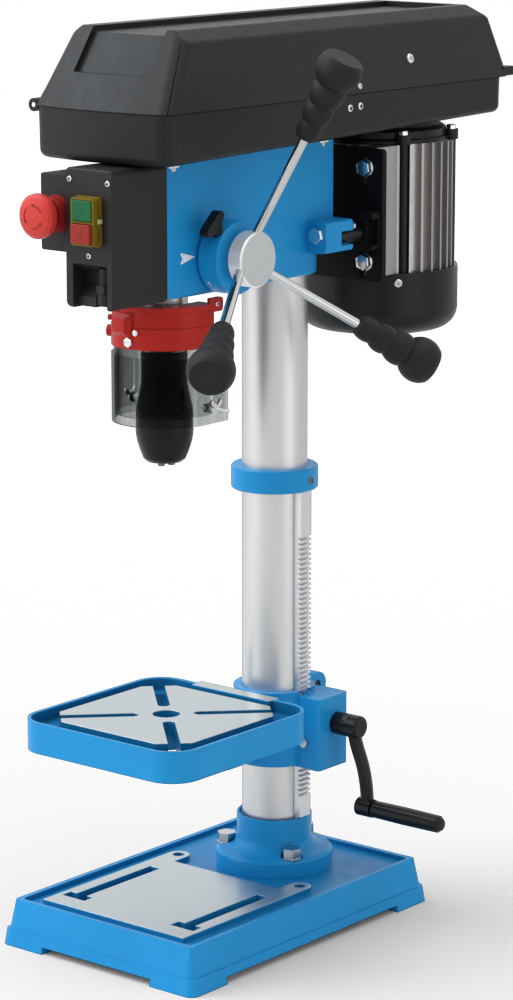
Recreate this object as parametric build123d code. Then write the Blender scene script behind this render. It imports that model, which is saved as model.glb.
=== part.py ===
# Bench drill press as separate named pieces. Millimetres, +Z up.
# The origin is where the column axis meets the bench. The operator stands on the -Y side.
import os
from math import atan2, cos, degrees, pi, radians, sin, sqrt, tan

from build123d import *

os.makedirs("parts", exist_ok=True)

# Fits
press_gap = 0.05       # pieces of one body that sit in each other
run_gap = 0.05         # radial clearance of a running shaft
loose_gap = 0.3        # between curved faces of pieces that move apart
seam_gap = 0.4         # between flat faces of pieces that move apart

# Base
base_width = 230.0
base_front = 255.0     # column axis to front edge
base_back = 91.0       # column axis to rear edge
base_height = 42.0
base_inset = 10.0      # draft of the side walls at the top
band_height = 15.0     # lower band of the side walls
band_inset = 2.6
band_ledge = 1.5
rim_width = 4.5
rim_depth = 4.5
foot_height = 6.5
foot_x = 50.0
foot_y = 48.0
base_wall = 14.0
base_plate = 8.0
pad_half = 84.0
pad_front = 231.0
pad_back = 72.0
pad_rise = 0.5         # machined pad above the rim
ear_x = 73.5
ear_y = -53.5
ear_r = 10.5
ear_hole_r = 5.5
slot_x = 65.0
slot_front = 211.0
slot_back = 97.0
slot_width = 12.0
slot_head_width = 27.0
slot_head_length = 12.0

# Column and flange
column_r = 30.0
head_low = 601.0       # underside of the head
column_wall = 4.0
column_top = head_low + 105.0
flange_r = column_r + 25.0
flange_disc = 17.0
flange_tube_r = column_r + 5.2
flange_top = 88.0
lip_depth = 4.0
lip_wall = 1.8
flange_bolt_ring = column_r + 15.5
flange_bolt_r = 4.5
collar_r = column_r + 10.0
collar_low = 401.0
collar_height = 21.0

# Rack on the column
module = 1.5
rack_thick = 7.0
rack_half = 7.5
rack_teeth_low = 112.0
rack_teeth = 53
rack_tooth_depth = 3.3

# Head
throat = 155.0         # column axis to spindle axis
head_half = column_r + 8.0
head_front = throat + 39.0
head_rear = 40.5
head_front_gap = 0.05  # the head's top follows the sloped floor of the belt tray
boss_top = head_low + 25.0  # the round lower boss ends here
lug_reach = 22.0
lug_front = -1.0
lug_rear = 39.0
lug_low = head_low + 21.0
lug_top = head_low + 49.5
rod_x = head_half + 11.0
rod_z = head_low + 33.0
rod_r = 7.0

# Feed
quill_r = 21.0
feed_back = 9.0        # feed axis behind the quill's skin
feed_z = head_low + 32.0
feed_y = quill_r + feed_back - throat
pinion_teeth = 14
feed_shaft_r = 8.0
feed_journal_r = 7.0
drum_r = 32.0
drum_out = head_half + 25.0  # outer face of the depth drum
hub_r = 24.4
hub_in = head_half + 30.0
hub_out = head_half + 45.5
handle_turn = 84.2     # rest angle of the upper handle about the feed axis
handle_end_r = 178.0
handle_end_x = head_half + 125.0
handle_root_x = head_half + 28.5
handle_r = 4.2
grip_start = 0.61      # share of the handle where the grip begins

# Quill, spindle, chuck
quill_low = head_low - 24.0
quill_high = head_low + 101.0
quill_travel = 60.0
spindle_r = 9.0
spline_r = 8.0
spindle_top = head_low + 191.0
chuck_top = head_low - 52.0
chuck_split = head_low - 105.0
chuck_low = head_low - 151.3
chuck_r = 25.5
core_r = 18.0
core_nose_r = 13.0
jaw_r = 2.8
jaw_tilt = 12.0
jaw_length = 27.0
jaw_low = head_low - 155.0
jaw_open = 3.0         # half the opening between the jaws at rest

# Guard
guard_r = 45.5
guard_wall = 1.5
guard_low = head_low - 45.8
guard_high = head_low - 8.0
guard_start = 176.0    # angle where the holder begins, at the hinge
guard_run = 14.0       # straight right side of the holder runs back this far from the spindle
guard_flange = 1.2     # top flange outside the wall
guard_step = 0.8       # thicker lower band
clamp_r = quill_r + 6.0
clamp_low = head_low - 23.0
clamp_high = head_low - 13.0
hinge_pin_r = 2.0
hinge_r = 5.0
shield_wall = 2.0
shield_left = 16.0     # straight sides of the shields run back this far from the spindle
shield_right = 32.0
shield_bolt_back = 11.0
upper_shield_low = head_low - 107.0
lower_shield_low = head_low - 114.0
lower_shield_high = head_low - 53.0
shield_travel = 34.0

# Motor
plate_half = 68.0
plate_front = 72.0
plate_thick = 6.0
motor_seat = 11.5      # motor core behind its plate
motor_core_r = 65.5
motor_y = plate_front + plate_thick + motor_seat + motor_core_r
motor_r = motor_core_r + 6.5
motor_low = head_low - 9.0
motor_high = head_low + 110.0
cowl_r = motor_core_r + 10.0
cowl_low = head_low - 68.0
bell_r = motor_core_r - 2.0
bell_top = head_low + 125.0
plate_low = head_low - 12.0
plate_high = head_low + 110.0
motor_shaft_r = 7.0
motor_travel = 14.0
fin_count = 36
fin_thick = 2.4
fin_turn = 2.0         # first fin's angle
tie_r = 4.4
tie_ring = motor_core_r + 2.5  # tie rods stand in grooves at this radius
tie_angles = (33, 147, 213, 327)

# Pulley cover
cover_right = 74.0     # column plane to the right side
cover_left = 82.0      # and to the hinged left side
cover_front = throat + 78.0
cover_rear = motor_y + 101.0
cover_bow = 9.0
cover_split = head_low + 164.0
cover_top = head_low + 232.0
cover_shoulder_z = head_low + 222.0
shoulder_right = 59.0
shoulder_left = 75.0
ridge_right = 45.0
ridge_left = 62.0
cover_lean = 34.7      # slope of the lid's front
recess_right = 38.0
recess_left = 46.0
cover_recess_depth = 5.0
cover_recess_low = head_low + 194.0
lid_wall = 2.8
tray_inset = 1.0
tray_draft = 1.0
tray_round = 7.0       # rounding of the tray's lower edge
tray_wall = 2.5
tray_floor = 3.0
tray_low = head_low + 125.35  # tray floor over the column axis
tray_slope = 0.0238    # rise of the floor towards the motor
lid_hinge_out = 3.0    # hinge axis outside the left wall
lid_knuckle_r = 5.5
lid_tab = 14.0         # grip tab behind the lid

# Pulleys and belt
pulley_low = head_low + 136.0
pulley_step = 14.0
pulley_radii = (46.0, 40.5, 35.0, 29.5, 24.0)
groove_depth = 7.0

# Switch box
box_left = -16.3
box_right = head_half + 0.0
box_front = head_front + 70.0
box_low = head_low - 1.5
box_high = head_low + 118.0
box_wall = 2.5
pocket_left = -8.0
pocket_right = 31.0
pocket_high = head_low + 36.0
pocket_deep = 18.0
nvr_left = -1.0
nvr_right = 25.0
nvr_low = head_low + 53.5
nvr_high = head_low + 94.5
nvr_out = 10.0
estop_left = -51.0
estop_front = head_front + 62.0
estop_back = head_front + 12.0
estop_low = head_low + 44.0
estop_high = head_low + 110.0
estop_x = -33.0
estop_z = head_low + 76.0
estop_cap_r = 19.4

# Table and its arm
table_width = 191.0
table_front = throat + 97.5
table_back = 57.0
table_top = 216.5
table_thick = 28.5
table_corner = 28.0
table_rim = 3.0
table_channel = 11.0
table_half = 79.0
table_cut = 23.0
table_hole_r = 12.5
table_slot = 11.2
arm_r = column_r + 8.0
arm_low = 141.0
arm_high = 212.0
housing_x = column_r + 32.0
housing_front = -11.0
housing_rear = 32.0
housing_low = 140.0
housing_high = 208.0
crank_y = 14.0
crank_z = 182.0
lift_teeth = 12
wheel_r = 11.2
worm_r = 5.4
gear_drop = 17.0       # lift gear axis below the crank axis
crank_hub_r = 10.5
crank_drop = 75.0
crank_arm_x = housing_x + 22.0
crank_end_x = housing_x + 38.0
crank_grip_r = 7.7
crank_grip_end = housing_x + 124.0
tilt_z = 165.0
tilt_r = 20.0
tilt_joint = arm_r + 22.0
tilt_front = tilt_joint + 16.0
clamp_ear_y = arm_r + 10.0
clamp_ear_z = 203.0
clamp_ear_r = 12.0

CENTRED = (Align.CENTER, Align.CENTER, Align.MIN)


def box(x0, x1, y0, y1, z0, z1):
    return Pos((x0 + x1) / 2, (y0 + y1) / 2, (z0 + z1) / 2) * Box(x1 - x0, y1 - y0, z1 - z0)


def cyl_z(r, z0, z1, x=0.0, y=0.0):
    return Pos(x, y, z0) * Cylinder(r, z1 - z0, align=CENTRED)


def cyl_x(r, x0, x1, y, z):
    return Pos(x0, y, z) * Rot(0, 90, 0) * Cylinder(r, x1 - x0, align=CENTRED)


def cyl_y(r, y0, y1, x, z):
    return Pos(x, y0, z) * Rot(-90, 0, 0) * Cylinder(r, y1 - y0, align=CENTRED)


def prism_x(points, x0, x1):
    return extrude(Plane.YZ.offset(x0) * Polygon(*points, align=None), x1 - x0, dir=(1, 0, 0))


def prism_y(points, y0, y1):
    return extrude(Plane.XZ.offset(-y0) * Polygon(*points, align=None), y1 - y0, dir=(0, 1, 0))


def prism_z(points, z0, z1):
    return extrude(Pos(0, 0, z0) * Polygon(*points, align=None), z1 - z0, dir=(0, 0, 1))


def turned(points):
    return revolve(Plane.XZ * Polygon(*points, align=None), Axis.Z, 360)


def turned_z(points, x=0.0, y=0.0):
    return Pos(x, y, 0) * turned(points)


def turned_x(points, y, z):
    return Pos(0, y, z) * Rot(0, 90, 0) * turned(points)


def turned_y(points, x, z):
    return Pos(x, 0, z) * Rot(-90, 0, 0) * turned(points)


def turned_curve(edges):
    return revolve(Plane.XZ * make_face(edges), Axis.Z, 360)


def hexagon(across, z0, z1):
    return extrude(Pos(0, 0, z0) * RegularPolygon(across / sqrt(3), 6), z1 - z0, dir=(0, 0, 1))


def gear_outline(teeth, tip, root, base_share, tip_share):
    # Straight-sided teeth, thinner than the gaps so that they never bind.
    points = []
    step = 2 * pi / teeth
    for k in range(teeth):
        a = k * step
        for r, share in ((root, -base_share), (tip, -tip_share), (tip, tip_share), (root, base_share)):
            points.append((r * cos(a + share * step), r * sin(a + share * step)))
    return points


def save(part, name):
    export_step(part, "parts/" + name + ".step")


# Base: drafted side walls, rim lip, machined pad with ears, through slots, hollow underside
base_depth = base_front + base_back
base_mid = (base_back - base_front) / 2


def tapered(inset, z0, z1, inset_top, corner):
    outline = Pos(0, base_mid, z0) * RectangleRounded(base_width - 2 * inset, base_depth - 2 * inset, corner)
    return extrude(outline, z1 - z0, taper=degrees(atan2(inset_top - inset, z1 - z0)))


floor_z = base_height - rim_depth
base = tapered(0, 0, band_height, band_inset, 9) + tapered(
    band_inset + band_ledge, band_height, base_height, base_inset, 8
)
rim_inset = base_inset + rim_width
base -= Pos(0, base_mid, floor_z) * extrude(
    RectangleRounded(base_width - 2 * rim_inset, base_depth - 2 * rim_inset, 4), rim_depth + 1
)
pad_z = base_height + pad_rise
base += box(-pad_half, pad_half, -pad_front, -pad_back, floor_z - 1, pad_z)
for side in (-1, 1):
    base += box(side * ear_x - ear_r, side * ear_x + ear_r, -pad_back - 1, ear_y, floor_z - 1, pad_z)
    base += cyl_z(ear_r, floor_z - 1, pad_z, side * ear_x, ear_y)
cavity_top = floor_z - base_plate
cavity_x = base_width / 2 - base_wall
cavity = box(-cavity_x, cavity_x, -base_front + base_wall, base_back - base_wall, -1, cavity_top)
for sx in (-1, 1):
    for y0 in (-base_front, base_back - foot_y):
        corner_x = sx * (base_width / 2 - foot_x / 2)
        cavity -= box(corner_x - foot_x / 2, corner_x + foot_x / 2, y0, y0 + foot_y, -2, cavity_top + 1)
cavity -= box(-base_width / 2, base_width / 2, -88, -82, -2, cavity_top + 1)
cavity -= cyl_z(flange_r - 4, foot_height + 4, cavity_top + 1)
base -= cavity
arch_x = base_width / 2 - foot_x
base -= box(-arch_x, arch_x, -base_front - 1, base_back + 1, -1, foot_height)
base -= box(-base_width, base_width, -base_front + foot_y, base_back - foot_y, -1, foot_height)
for side in (-1, 1):
    base -= cyl_z(ear_hole_r, -1, base_height + 5, side * ear_x, ear_y)
    for width, slot_end in ((slot_width, -slot_back), (slot_head_width, -slot_front + slot_head_length)):
        x0 = side * slot_x - width / 2
        base -= box(x0, x0 + width, -slot_front, slot_end, -1, base_height + 5)

# Column flange with its bolts
bore = column_r + press_gap
disc_top = floor_z + flange_disc
lip_r = flange_tube_r - lip_wall
flange = turned(
    [
        (bore, floor_z),
        (flange_r, floor_z),
        (flange_r, disc_top - 3),
        (flange_r - 2.5, disc_top),
        (flange_tube_r + 9, disc_top + 1.5),
        (flange_tube_r + 3, disc_top + 4),
        (flange_tube_r, disc_top + 10),
        (flange_tube_r, flange_top - 1.2),
        (flange_tube_r - 0.6, flange_top),
        (lip_r, flange_top),
        (lip_r, flange_top - lip_depth),
        (bore, flange_top - lip_depth),
    ]
)
bolts = None
for angle in (90, 210, 330):
    bx = flange_bolt_ring * cos(radians(angle))
    by = flange_bolt_ring * sin(radians(angle))
    flange -= cyl_z(10.4, disc_top - 0.5, disc_top + 12, bx, by) - cyl_z(flange_tube_r, 0, 200)
    flange -= cyl_z(flange_bolt_r + press_gap, 0, 100, bx, by)
    base -= cyl_z(flange_bolt_r + press_gap, cavity_top - 14, base_height, bx, by)
    seat = disc_top - 0.5
    bolt = cyl_z(9.2, seat, seat + 1.6) + hexagon(16, seat + 1.6, seat + 10.5)
    bolt += cyl_z(flange_bolt_r, cavity_top - 12, seat)
    bolt = Pos(bx, by, 0) * Rot(0, 0, 17) * bolt
    bolts = bolt if bolts is None else bolts + bolt
save(base, "base")
save(flange, "column_flange")
save(bolts, "flange_bolts")

# Column tube
column = cyl_z(column_r, floor_z, column_top) - cyl_z(column_r - column_wall, floor_z - 1, column_top + 1)
save(column, "column_tube")

# Rack collar
collar_high = collar_low + collar_height
collar = turned(
    [
        (bore, collar_low + lip_depth),
        (column_r + 3.6, collar_low + lip_depth),
        (column_r + 3.6, collar_low),
        (collar_r - 1.2, collar_low),
        (collar_r, collar_low + 1.2),
        (collar_r, collar_high - 1.2),
        (collar_r - 1.2, collar_high),
        (bore, collar_high),
    ]
)
save(collar, "rack_collar")

# Column rack, with thin tongues that turn inside the flange lip and the collar
rack_in = column_r + loose_gap
rack_out = rack_in + rack_thick
tongue_out = lip_r - seam_gap
rack_pitch = pi * module
rack_full_low = flange_top + 1.5
rack_full_high = collar_low - seam_gap
rack = box(rack_in - 4, rack_out, -rack_half, rack_half, rack_full_low, rack_full_high)
rack += box(rack_in - 4, tongue_out, -rack_half, rack_half, flange_top - lip_depth + seam_gap, rack_full_low)
rack += box(rack_in - 4, tongue_out, -rack_half, rack_half, rack_full_high, collar_low + lip_depth - seam_gap)
tongue_cut = cyl_z(rack_out + 20, 0, rack_full_low) + cyl_z(rack_out + 20, rack_full_high, 500)
rack -= tongue_cut - cyl_z(tongue_out, 0, 500)
rack -= cyl_z(rack_in, 0, 500)
for k in range(rack_teeth):
    z = rack_teeth_low + k * rack_pitch
    groove = [
        (rack_out + 1, z - 0.40 * rack_pitch),
        (rack_out, z - 0.36 * rack_pitch),
        (rack_out - rack_tooth_depth, z - 0.17 * rack_pitch),
        (rack_out - rack_tooth_depth, z + 0.17 * rack_pitch),
        (rack_out, z + 0.36 * rack_pitch),
        (rack_out + 1, z + 0.40 * rack_pitch),
    ]
    rack -= prism_y(groove, -rack_half - 1, rack_half + 1)
save(rack, "rack")

# Head casting
spindle_y = -throat


def tray_floor_z(y):
    return tray_low + tray_slope * y


head_top = tray_floor_z(head_rear)
head = box(-head_half, head_half, -head_front, head_rear, boss_top, head_top)
head = fillet(head.edges().filter_by(Axis.Z).group_by(Axis.Y)[-1], 5)
head += box(-head_half, head_half, -head_front, 0, head_low, boss_top)
head += cyl_z(head_half, head_low, boss_top)
for side in (-1, 1):
    x0 = min(side * (head_half - 1), side * (head_half + lug_reach))
    x1 = max(side * (head_half - 1), side * (head_half + lug_reach))
    lug = box(x0, x1, lug_front, lug_rear, lug_low, lug_top)
    outer = -1 if side > 0 else 0
    lug = fillet(lug.edges().filter_by(Axis.Y).group_by(Axis.X)[outer], 4)
    head += lug
head = fillet(head.edges().filter_by(Axis.Y).filter_by(lambda e: e.length > 120).group_by(Axis.Z)[0], 2.5)
head -= prism_x(
    [
        (-head_front - 1, tray_floor_z(-head_front - 1) - head_front_gap),
        (head_rear + 1, tray_floor_z(head_rear + 1) - head_front_gap),
        (head_rear + 1, head_top + 20),
        (-head_front - 1, head_top + 20),
    ],
    -head_half - 1,
    head_half + 1,
)
head -= cyl_z(column_r + press_gap, head_low - 1, column_top + 2)
head -= cyl_z(quill_r + run_gap, head_low - 1, quill_high + 2, 0, spindle_y)
head -= cyl_z(12.5 + run_gap, quill_high, head_top + 1, 0, spindle_y)
head -= box(-head_half + 8, head_half - 8, feed_y + 19, -column_r - 15, head_low + 11, head_top + 1)
pinion_tip = module * pinion_teeth / 2 + 1.4
head -= cyl_x(pinion_tip + 0.5, -17, head_half + 1, feed_y, feed_z)
head -= cyl_x(feed_journal_r + run_gap, -head_half - 1, -16, feed_y, feed_z)
for side in (-1, 1):
    head -= cyl_y(rod_r + run_gap, 0, lug_rear + 1, side * rod_x, rod_z)
    n0 = min(side * (rod_x + 4), side * (head_half + lug_reach + 1))
    n1 = max(side * (rod_x + 4), side * (head_half + lug_reach + 1))
    head -= box(n0, n1, lug_rear - 17, lug_rear + 1, rod_z - 6.5, rod_z + 6.5)
save(head, "head_casting")

# Return spring cap on the left side
cap_out = -head_half - 19
spring_cap = turned_x(
    [
        (feed_journal_r + 2, -head_half),
        (29, -head_half),
        (29, -head_half - 5),
        (27, -head_half - 6),
        (26, cap_out + 3),
        (23, cap_out),
        (feed_journal_r + loose_gap, cap_out),
        (feed_journal_r + loose_gap, cap_out + 3),
        (23, cap_out + 3),
        (23, -head_half - 3),
        (feed_journal_r + 2, -head_half - 3),
    ],
    feed_y,
    feed_z,
)
save(spring_cap, "spring_cap")


# Pulley cover: an outline bowed at the front, a tray below and a lid with a recessed band
cover_mid = (cover_right - cover_left) / 2
cover_half = (cover_right + cover_left) / 2
lid_hinge_x = -cover_left - lid_hinge_out


def cover_outline(inset, front_corner, rear_corner):
    left = -cover_left + inset
    right = cover_right - inset
    front = -cover_front + inset
    rear = cover_rear - inset
    edges = [
        ThreePointArc((left, front), (cover_mid, front - cover_bow), (right, front)),
        Line((right, front), (right, rear)),
        Line((right, rear), (left, rear)),
        Line((left, rear), (left, front)),
    ]
    outline = make_face(edges)
    outline = fillet(outline.vertices().group_by(Axis.Y)[0], front_corner)
    outline = fillet(outline.vertices().group_by(Axis.Y)[-1], rear_corner)
    return outline


def tray_block(inset, lift):
    height = cover_split - tray_low + 14
    low = cover_split - height
    outline = cover_outline(inset + tray_draft, 16 - inset, 12 - inset)
    block = extrude(Pos(0, 0, low) * outline, height, taper=-degrees(atan2(tray_draft, height)))
    front = -cover_front - 50
    rear = cover_rear + 50
    side = [
        (front, tray_floor_z(front) + lift),
        (rear, tray_floor_z(rear) + lift),
        (rear, cover_split + lift),
        (front, cover_split + lift),
    ]
    return block & prism_x(side, -cover_left - 20, cover_right + 20)


tray = tray_block(tray_inset, 0)
tray = fillet(tray.faces().sort_by(Axis.Z)[0].edges(), tray_round)
tray -= tray_block(tray_inset + tray_wall, tray_floor)
tray -= cyl_z(18, tray_low - 30, cover_split - 5, 0, spindle_y)
for y in (motor_y - motor_travel, motor_y):
    tray -= cyl_z(13, tray_low - 30, cover_split - 5, 0, y)
tray -= box(-13, 13, motor_y - motor_travel, motor_y, tray_low - 30, cover_split - 5)


def lid_block(inset):
    low = cover_split + seam_gap
    shoulder_z = cover_shoulder_z - 0.7 * inset
    section = [
        (-cover_left + inset, low),
        (cover_right - inset, low),
        (shoulder_right - inset, shoulder_z),
        (ridge_right - 0.5 * inset, cover_top - inset),
        (-ridge_left + 0.5 * inset, cover_top - inset),
        (-shoulder_left + inset, shoulder_z),
    ]
    block = prism_y(section, -cover_front - 70, cover_rear + 50)
    rear = cover_rear - inset
    profile = [
        (-cover_front - 70, low),
        (rear, low),
        (rear - 1, low + 12),
        (rear - 11, shoulder_z - 3),
        (rear - 26, cover_top - inset),
        (-cover_front - 70, cover_top - inset),
    ]
    block &= prism_x(profile, -cover_left - 20, cover_right + 20)
    lean = radians(cover_lean)
    plan_r = (cover_half**2 + cover_bow**2) / (2 * cover_bow)
    lean_r = plan_r / cos(lean)
    reach = lean_r / cos(lean)
    axis_y = -cover_front - cover_bow + reach
    front = Pos(cover_mid, axis_y, low) * Rot(-cover_lean, 0, 0) * Cylinder(lean_r - inset * cos(lean), 1200)
    return block & front


lid = lid_block(0)
front_edges = lid.edges().filter_by(lambda e: e.center().Y < -cover_front + 43 and e.length > 45)
front_edges = front_edges.filter_by(lambda e: abs((e @ 0).Z - (e @ 1).Z) > 30)
lid = fillet(front_edges, 14)
long_edges = lid.edges().filter_by(Axis.Y).filter_by(lambda e: e.center().Z > cover_split + 20)
lid = fillet(long_edges, 6)
rest = box(-recess_left, recess_right, -cover_front - 70, cover_rear - 30, cover_recess_low, cover_top + 5)
lid -= rest - lid_block(cover_recess_depth)
ceiling = box(
    -recess_left - lid_wall,
    recess_right + lid_wall,
    -cover_front - 70,
    cover_rear - 26,
    cover_recess_low - lid_wall,
    cover_top + 5,
)
lid -= lid_block(lid_wall) - (ceiling - lid_block(cover_recess_depth + lid_wall))
tab_end = cover_rear + lid_tab
lid += box(-cover_left + 9, cover_right - 1, cover_rear - 2, tab_end, cover_split + 1, cover_split + 9.5)
# Hinge barrels on the left side, each let into the other half with a clearance
knuckle = 22.0
hinge_ends = (-cover_front + 5, cover_rear - 68)
lid_hinge_pins = None
for first, start in zip((1, 0), hinge_ends):
    for turn in (0, 1):
        y0 = start + turn * (knuckle + 1)
        y1 = y0 + knuckle
        barrel = cyl_y(lid_knuckle_r, y0, y1, lid_hinge_x, cover_split)
        room = cyl_y(lid_knuckle_r + seam_gap, y0 - seam_gap, y1 + seam_gap, lid_hinge_x, cover_split)
        if turn != first:
            tray -= room
            lid += barrel
        else:
            lid -= room
            tray += barrel
        tray -= cyl_y(hinge_pin_r + press_gap, y0 - 1, y1 + 1, lid_hinge_x, cover_split)
        lid -= cyl_y(hinge_pin_r + run_gap, y0 - 1, y1 + 1, lid_hinge_x, cover_split)
    pin = cyl_y(hinge_pin_r, start, start + 2 * knuckle + 1, lid_hinge_x, cover_split)
    lid_hinge_pins = pin if lid_hinge_pins is None else lid_hinge_pins + pin
save(tray, "belt_tray")
save(lid, "lid")
save(lid_hinge_pins, "lid_hinge_pins")


# Step pulleys and belt
def pulley_profile(radii, bore_r, hub_points):
    points = list(hub_points)
    for k, r in enumerate(radii):
        z = pulley_low + k * pulley_step
        points += [
            (r, z),
            (r, z + 2),
            (r - groove_depth, z + 5),
            (r - groove_depth, z + 9),
            (r, z + 12),
            (r, z + pulley_step),
        ]
    points.append((bore_r, pulley_low + len(radii) * pulley_step))
    return points


hub_low = quill_high + 12
pulley_hub_r = 12.5
pulley_bore = spline_r + run_gap
hub_points = [(pulley_bore, hub_low), (pulley_hub_r, hub_low), (pulley_hub_r, pulley_low)]
spindle_pulley = turned_z(pulley_profile(pulley_radii, pulley_bore, hub_points), 0, spindle_y)
save(spindle_pulley, "spindle_pulley")
shaft_low = bell_top - 26
shaft_points = [(0.0, shaft_low), (motor_shaft_r, shaft_low)]
shaft_points += [(motor_shaft_r, pulley_low - 2), (11, pulley_low)]
motor_pulley = turned_z(pulley_profile(pulley_radii[::-1], 0.0, shaft_points), 0, motor_y)
save(motor_pulley, "motor_pulley")
belt_step = len(pulley_radii) // 2
belt_r = pulley_radii[belt_step]
belt_z = pulley_low + belt_step * pulley_step + pulley_step / 2
belt_in = belt_r - groove_depth + 0.7
belt_out = belt_r - 0.2
belt_section = [
    (belt_in, belt_z - 1.8),
    (belt_out, belt_z - 4.4),
    (belt_out, belt_z + 4.4),
    (belt_in, belt_z + 1.8),
]
belt_low = belt_z - 20
belt_high = belt_z + 20
belt = turned_z(belt_section, 0, spindle_y) - box(-90, 90, spindle_y, spindle_y + 90, belt_low, belt_high)
belt += turned_z(belt_section, 0, motor_y) - box(-90, 90, motor_y - 90, motor_y, belt_low, belt_high)
for side in (-1, 1):
    belt += prism_y([(side * x, z) for x, z in belt_section], spindle_y, motor_y)
save(belt, "v_belt")

# Motor on its sliding plate, with a channel block round each slide rod
plate_back = plate_front + plate_thick
plate = box(-plate_half, plate_half, plate_front, plate_back, plate_low, plate_high)
plate = fillet(plate.edges().filter_by(Axis.Y), 4)
plate_bolt_x = 46.0
plate_bolts = (plate_low + 19, plate_high - 17)
rods = None
for sx in (-1, 1):
    block = box(rod_x - 17, rod_x + 17, plate_front - 12, plate_front, rod_z - 15, rod_z + 21)
    block = fillet(block.edges().filter_by(Axis.Y), 4)
    block -= box(rod_x + 9, rod_x + 18, plate_front - 13, plate_front - 3, rod_z - 10, rod_z + 14)
    plate += block if sx > 0 else mirror(block, Plane.YZ)
    for z in plate_bolts:
        slot_left = sx * plate_bolt_x - 4.2
        plate -= box(slot_left, slot_left + 8.4, plate_front - 1, plate_back + 1, z - 16, z + 8)
    plate -= cyl_y(rod_r + press_gap, plate_front - 14, plate_back + 1, sx * rod_x, rod_z)
    rod = cyl_y(rod_r, lug_rear - 23, plate_back, sx * rod_x, rod_z)
    rods = rod if rods is None else rods + rod
save(plate, "motor_plate")
save(rods, "slide_rods")
ring = Pos(0, motor_y, motor_low) * Circle(motor_core_r)
for k in range(fin_count):
    angle = fin_turn + k * 360 / fin_count
    fin_mid = (motor_core_r + motor_r) / 2
    fin = Rectangle(motor_r - motor_core_r + 4, fin_thick)
    ring += Pos(0, motor_y, motor_low) * Rot(0, 0, angle) * Pos(fin_mid - 2, 0, 0) * fin
motor = extrude(ring, motor_high - motor_low)
for sx in (-1, 1):
    foot_x0 = sx * plate_bolt_x - 10
    motor += box(foot_x0, foot_x0 + 20, plate_back, motor_y - 32, motor_low, motor_high)
motor -= cyl_z(motor_core_r - 6, motor_low - 1, motor_high - 8, 0, motor_y)
motor -= cyl_z(motor_shaft_r + loose_gap, motor_low, motor_high + 1, 0, motor_y)
ties = None
ears = None
for angle in tie_angles:
    tx = tie_ring * cos(radians(angle))
    ty = motor_y + tie_ring * sin(radians(angle))
    motor -= cyl_z(tie_r + 0.6, motor_low - 1, motor_high + 1, tx, ty)
    tie = cyl_z(tie_r, motor_low + press_gap, motor_high - press_gap, tx, ty)
    ear = cyl_z(tie_r + 2.2, motor_high, motor_high + 9, tx, ty)
    ties = tie if ties is None else ties + tie
    ears = ear if ears is None else ears + ear
save(ties, "tie_rods")
save(motor, "motor_body")
bell = turned_z(
    [
        (motor_shaft_r + run_gap, motor_high),
        (motor_core_r, motor_high),
        (motor_core_r, motor_high + 3),
        (bell_r, motor_high + 5),
        (bell_r, bell_top - 4),
        (bell_r - 4, bell_top - 1),
        (26, bell_top),
        (motor_shaft_r + run_gap, bell_top),
    ],
    0,
    motor_y,
)
bell += ears
save(bell, "motor_bell")
cowl_high = motor_low
cowl_wall = 3.0
cowl_round = 20.0      # rounding of the lower corner
cowl_flat = cowl_r - cowl_round
bend_z = cowl_low + cowl_round
cowl_in = cowl_r - cowl_wall
cowl_edges = [
    TangentArc((cowl_r, bend_z), (cowl_flat, cowl_low), tangent=(0, -1)),
    Polyline(
        (cowl_r, bend_z),
        (cowl_r, cowl_high - 1),
        (cowl_r - 0.6, cowl_high),
        (motor_core_r - 12, cowl_high),
        (motor_core_r - 12, cowl_high - 4),
        (cowl_in, cowl_high - 4),
        (cowl_in, bend_z),
    ),
    TangentArc((cowl_in, bend_z), (cowl_flat, cowl_low + cowl_wall), tangent=(0, -1)),
    Polyline(
        (cowl_flat, cowl_low + cowl_wall), (0.0, cowl_low + cowl_wall), (0.0, cowl_low), (cowl_flat, cowl_low)
    ),
]
cowl = Pos(0, motor_y, 0) * turned_curve(cowl_edges)
for k in range(-4, 5):
    reach = sqrt((cowl_flat - 8) ** 2 - (k * 9.5) ** 2)
    cowl -= box(k * 9.5 - 2.2, k * 9.5 + 2.2, motor_y - reach, motor_y - 5, cowl_low - 1, cowl_low + 4)
    cowl -= box(k * 9.5 - 2.2, k * 9.5 + 2.2, motor_y + 5, motor_y + reach, cowl_low - 1, cowl_low + 4)
save(cowl, "fan_cowl")

# Switch box with a pocket for the cable gland
box_back = head_front
pocket = prism_x(
    [
        (-box_front - 1, pocket_high + 1),
        (-box_front + pocket_deep, pocket_high - 8),
        (-box_front + pocket_deep, box_low - 1),
        (-box_front - 1, box_low - 1),
    ],
    pocket_left,
    pocket_right,
)
pocket_skin = prism_x(
    [
        (-box_front - 1, pocket_high + 1 + box_wall),
        (-box_front + pocket_deep + box_wall, pocket_high - 7 + box_wall),
        (-box_front + pocket_deep + box_wall, box_low + 1),
        (-box_front - 1, box_low + 1),
    ],
    pocket_left - box_wall,
    pocket_right + box_wall,
)
switch_box = box(box_left, box_right, -box_front, -box_back, box_low, box_high)
switch_box = fillet(switch_box.edges().filter_by(Axis.Y), 5)
switch_box = fillet(switch_box.faces().sort_by(Axis.Y)[0].edges(), 2)
hollow = box(
    box_left + box_wall,
    box_right - box_wall,
    -box_front + box_wall,
    -box_back + 1,
    box_low + box_wall,
    box_high - box_wall,
)
switch_box -= hollow - pocket_skin
switch_box -= pocket
hole_back = -box_front + box_wall + 1
switch_box -= box(nvr_left + 2, nvr_right - 2, -box_front - 1, hole_back, nvr_low + 2, nvr_high - 2)
gland_x = pocket_right - 9.5
gland_y = -box_front + 9
gland_top = box_low + 31
switch_box -= cyl_z(5.5 + press_gap, box_low + 5, gland_top + 6, gland_x, gland_y) & pocket_skin
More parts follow.
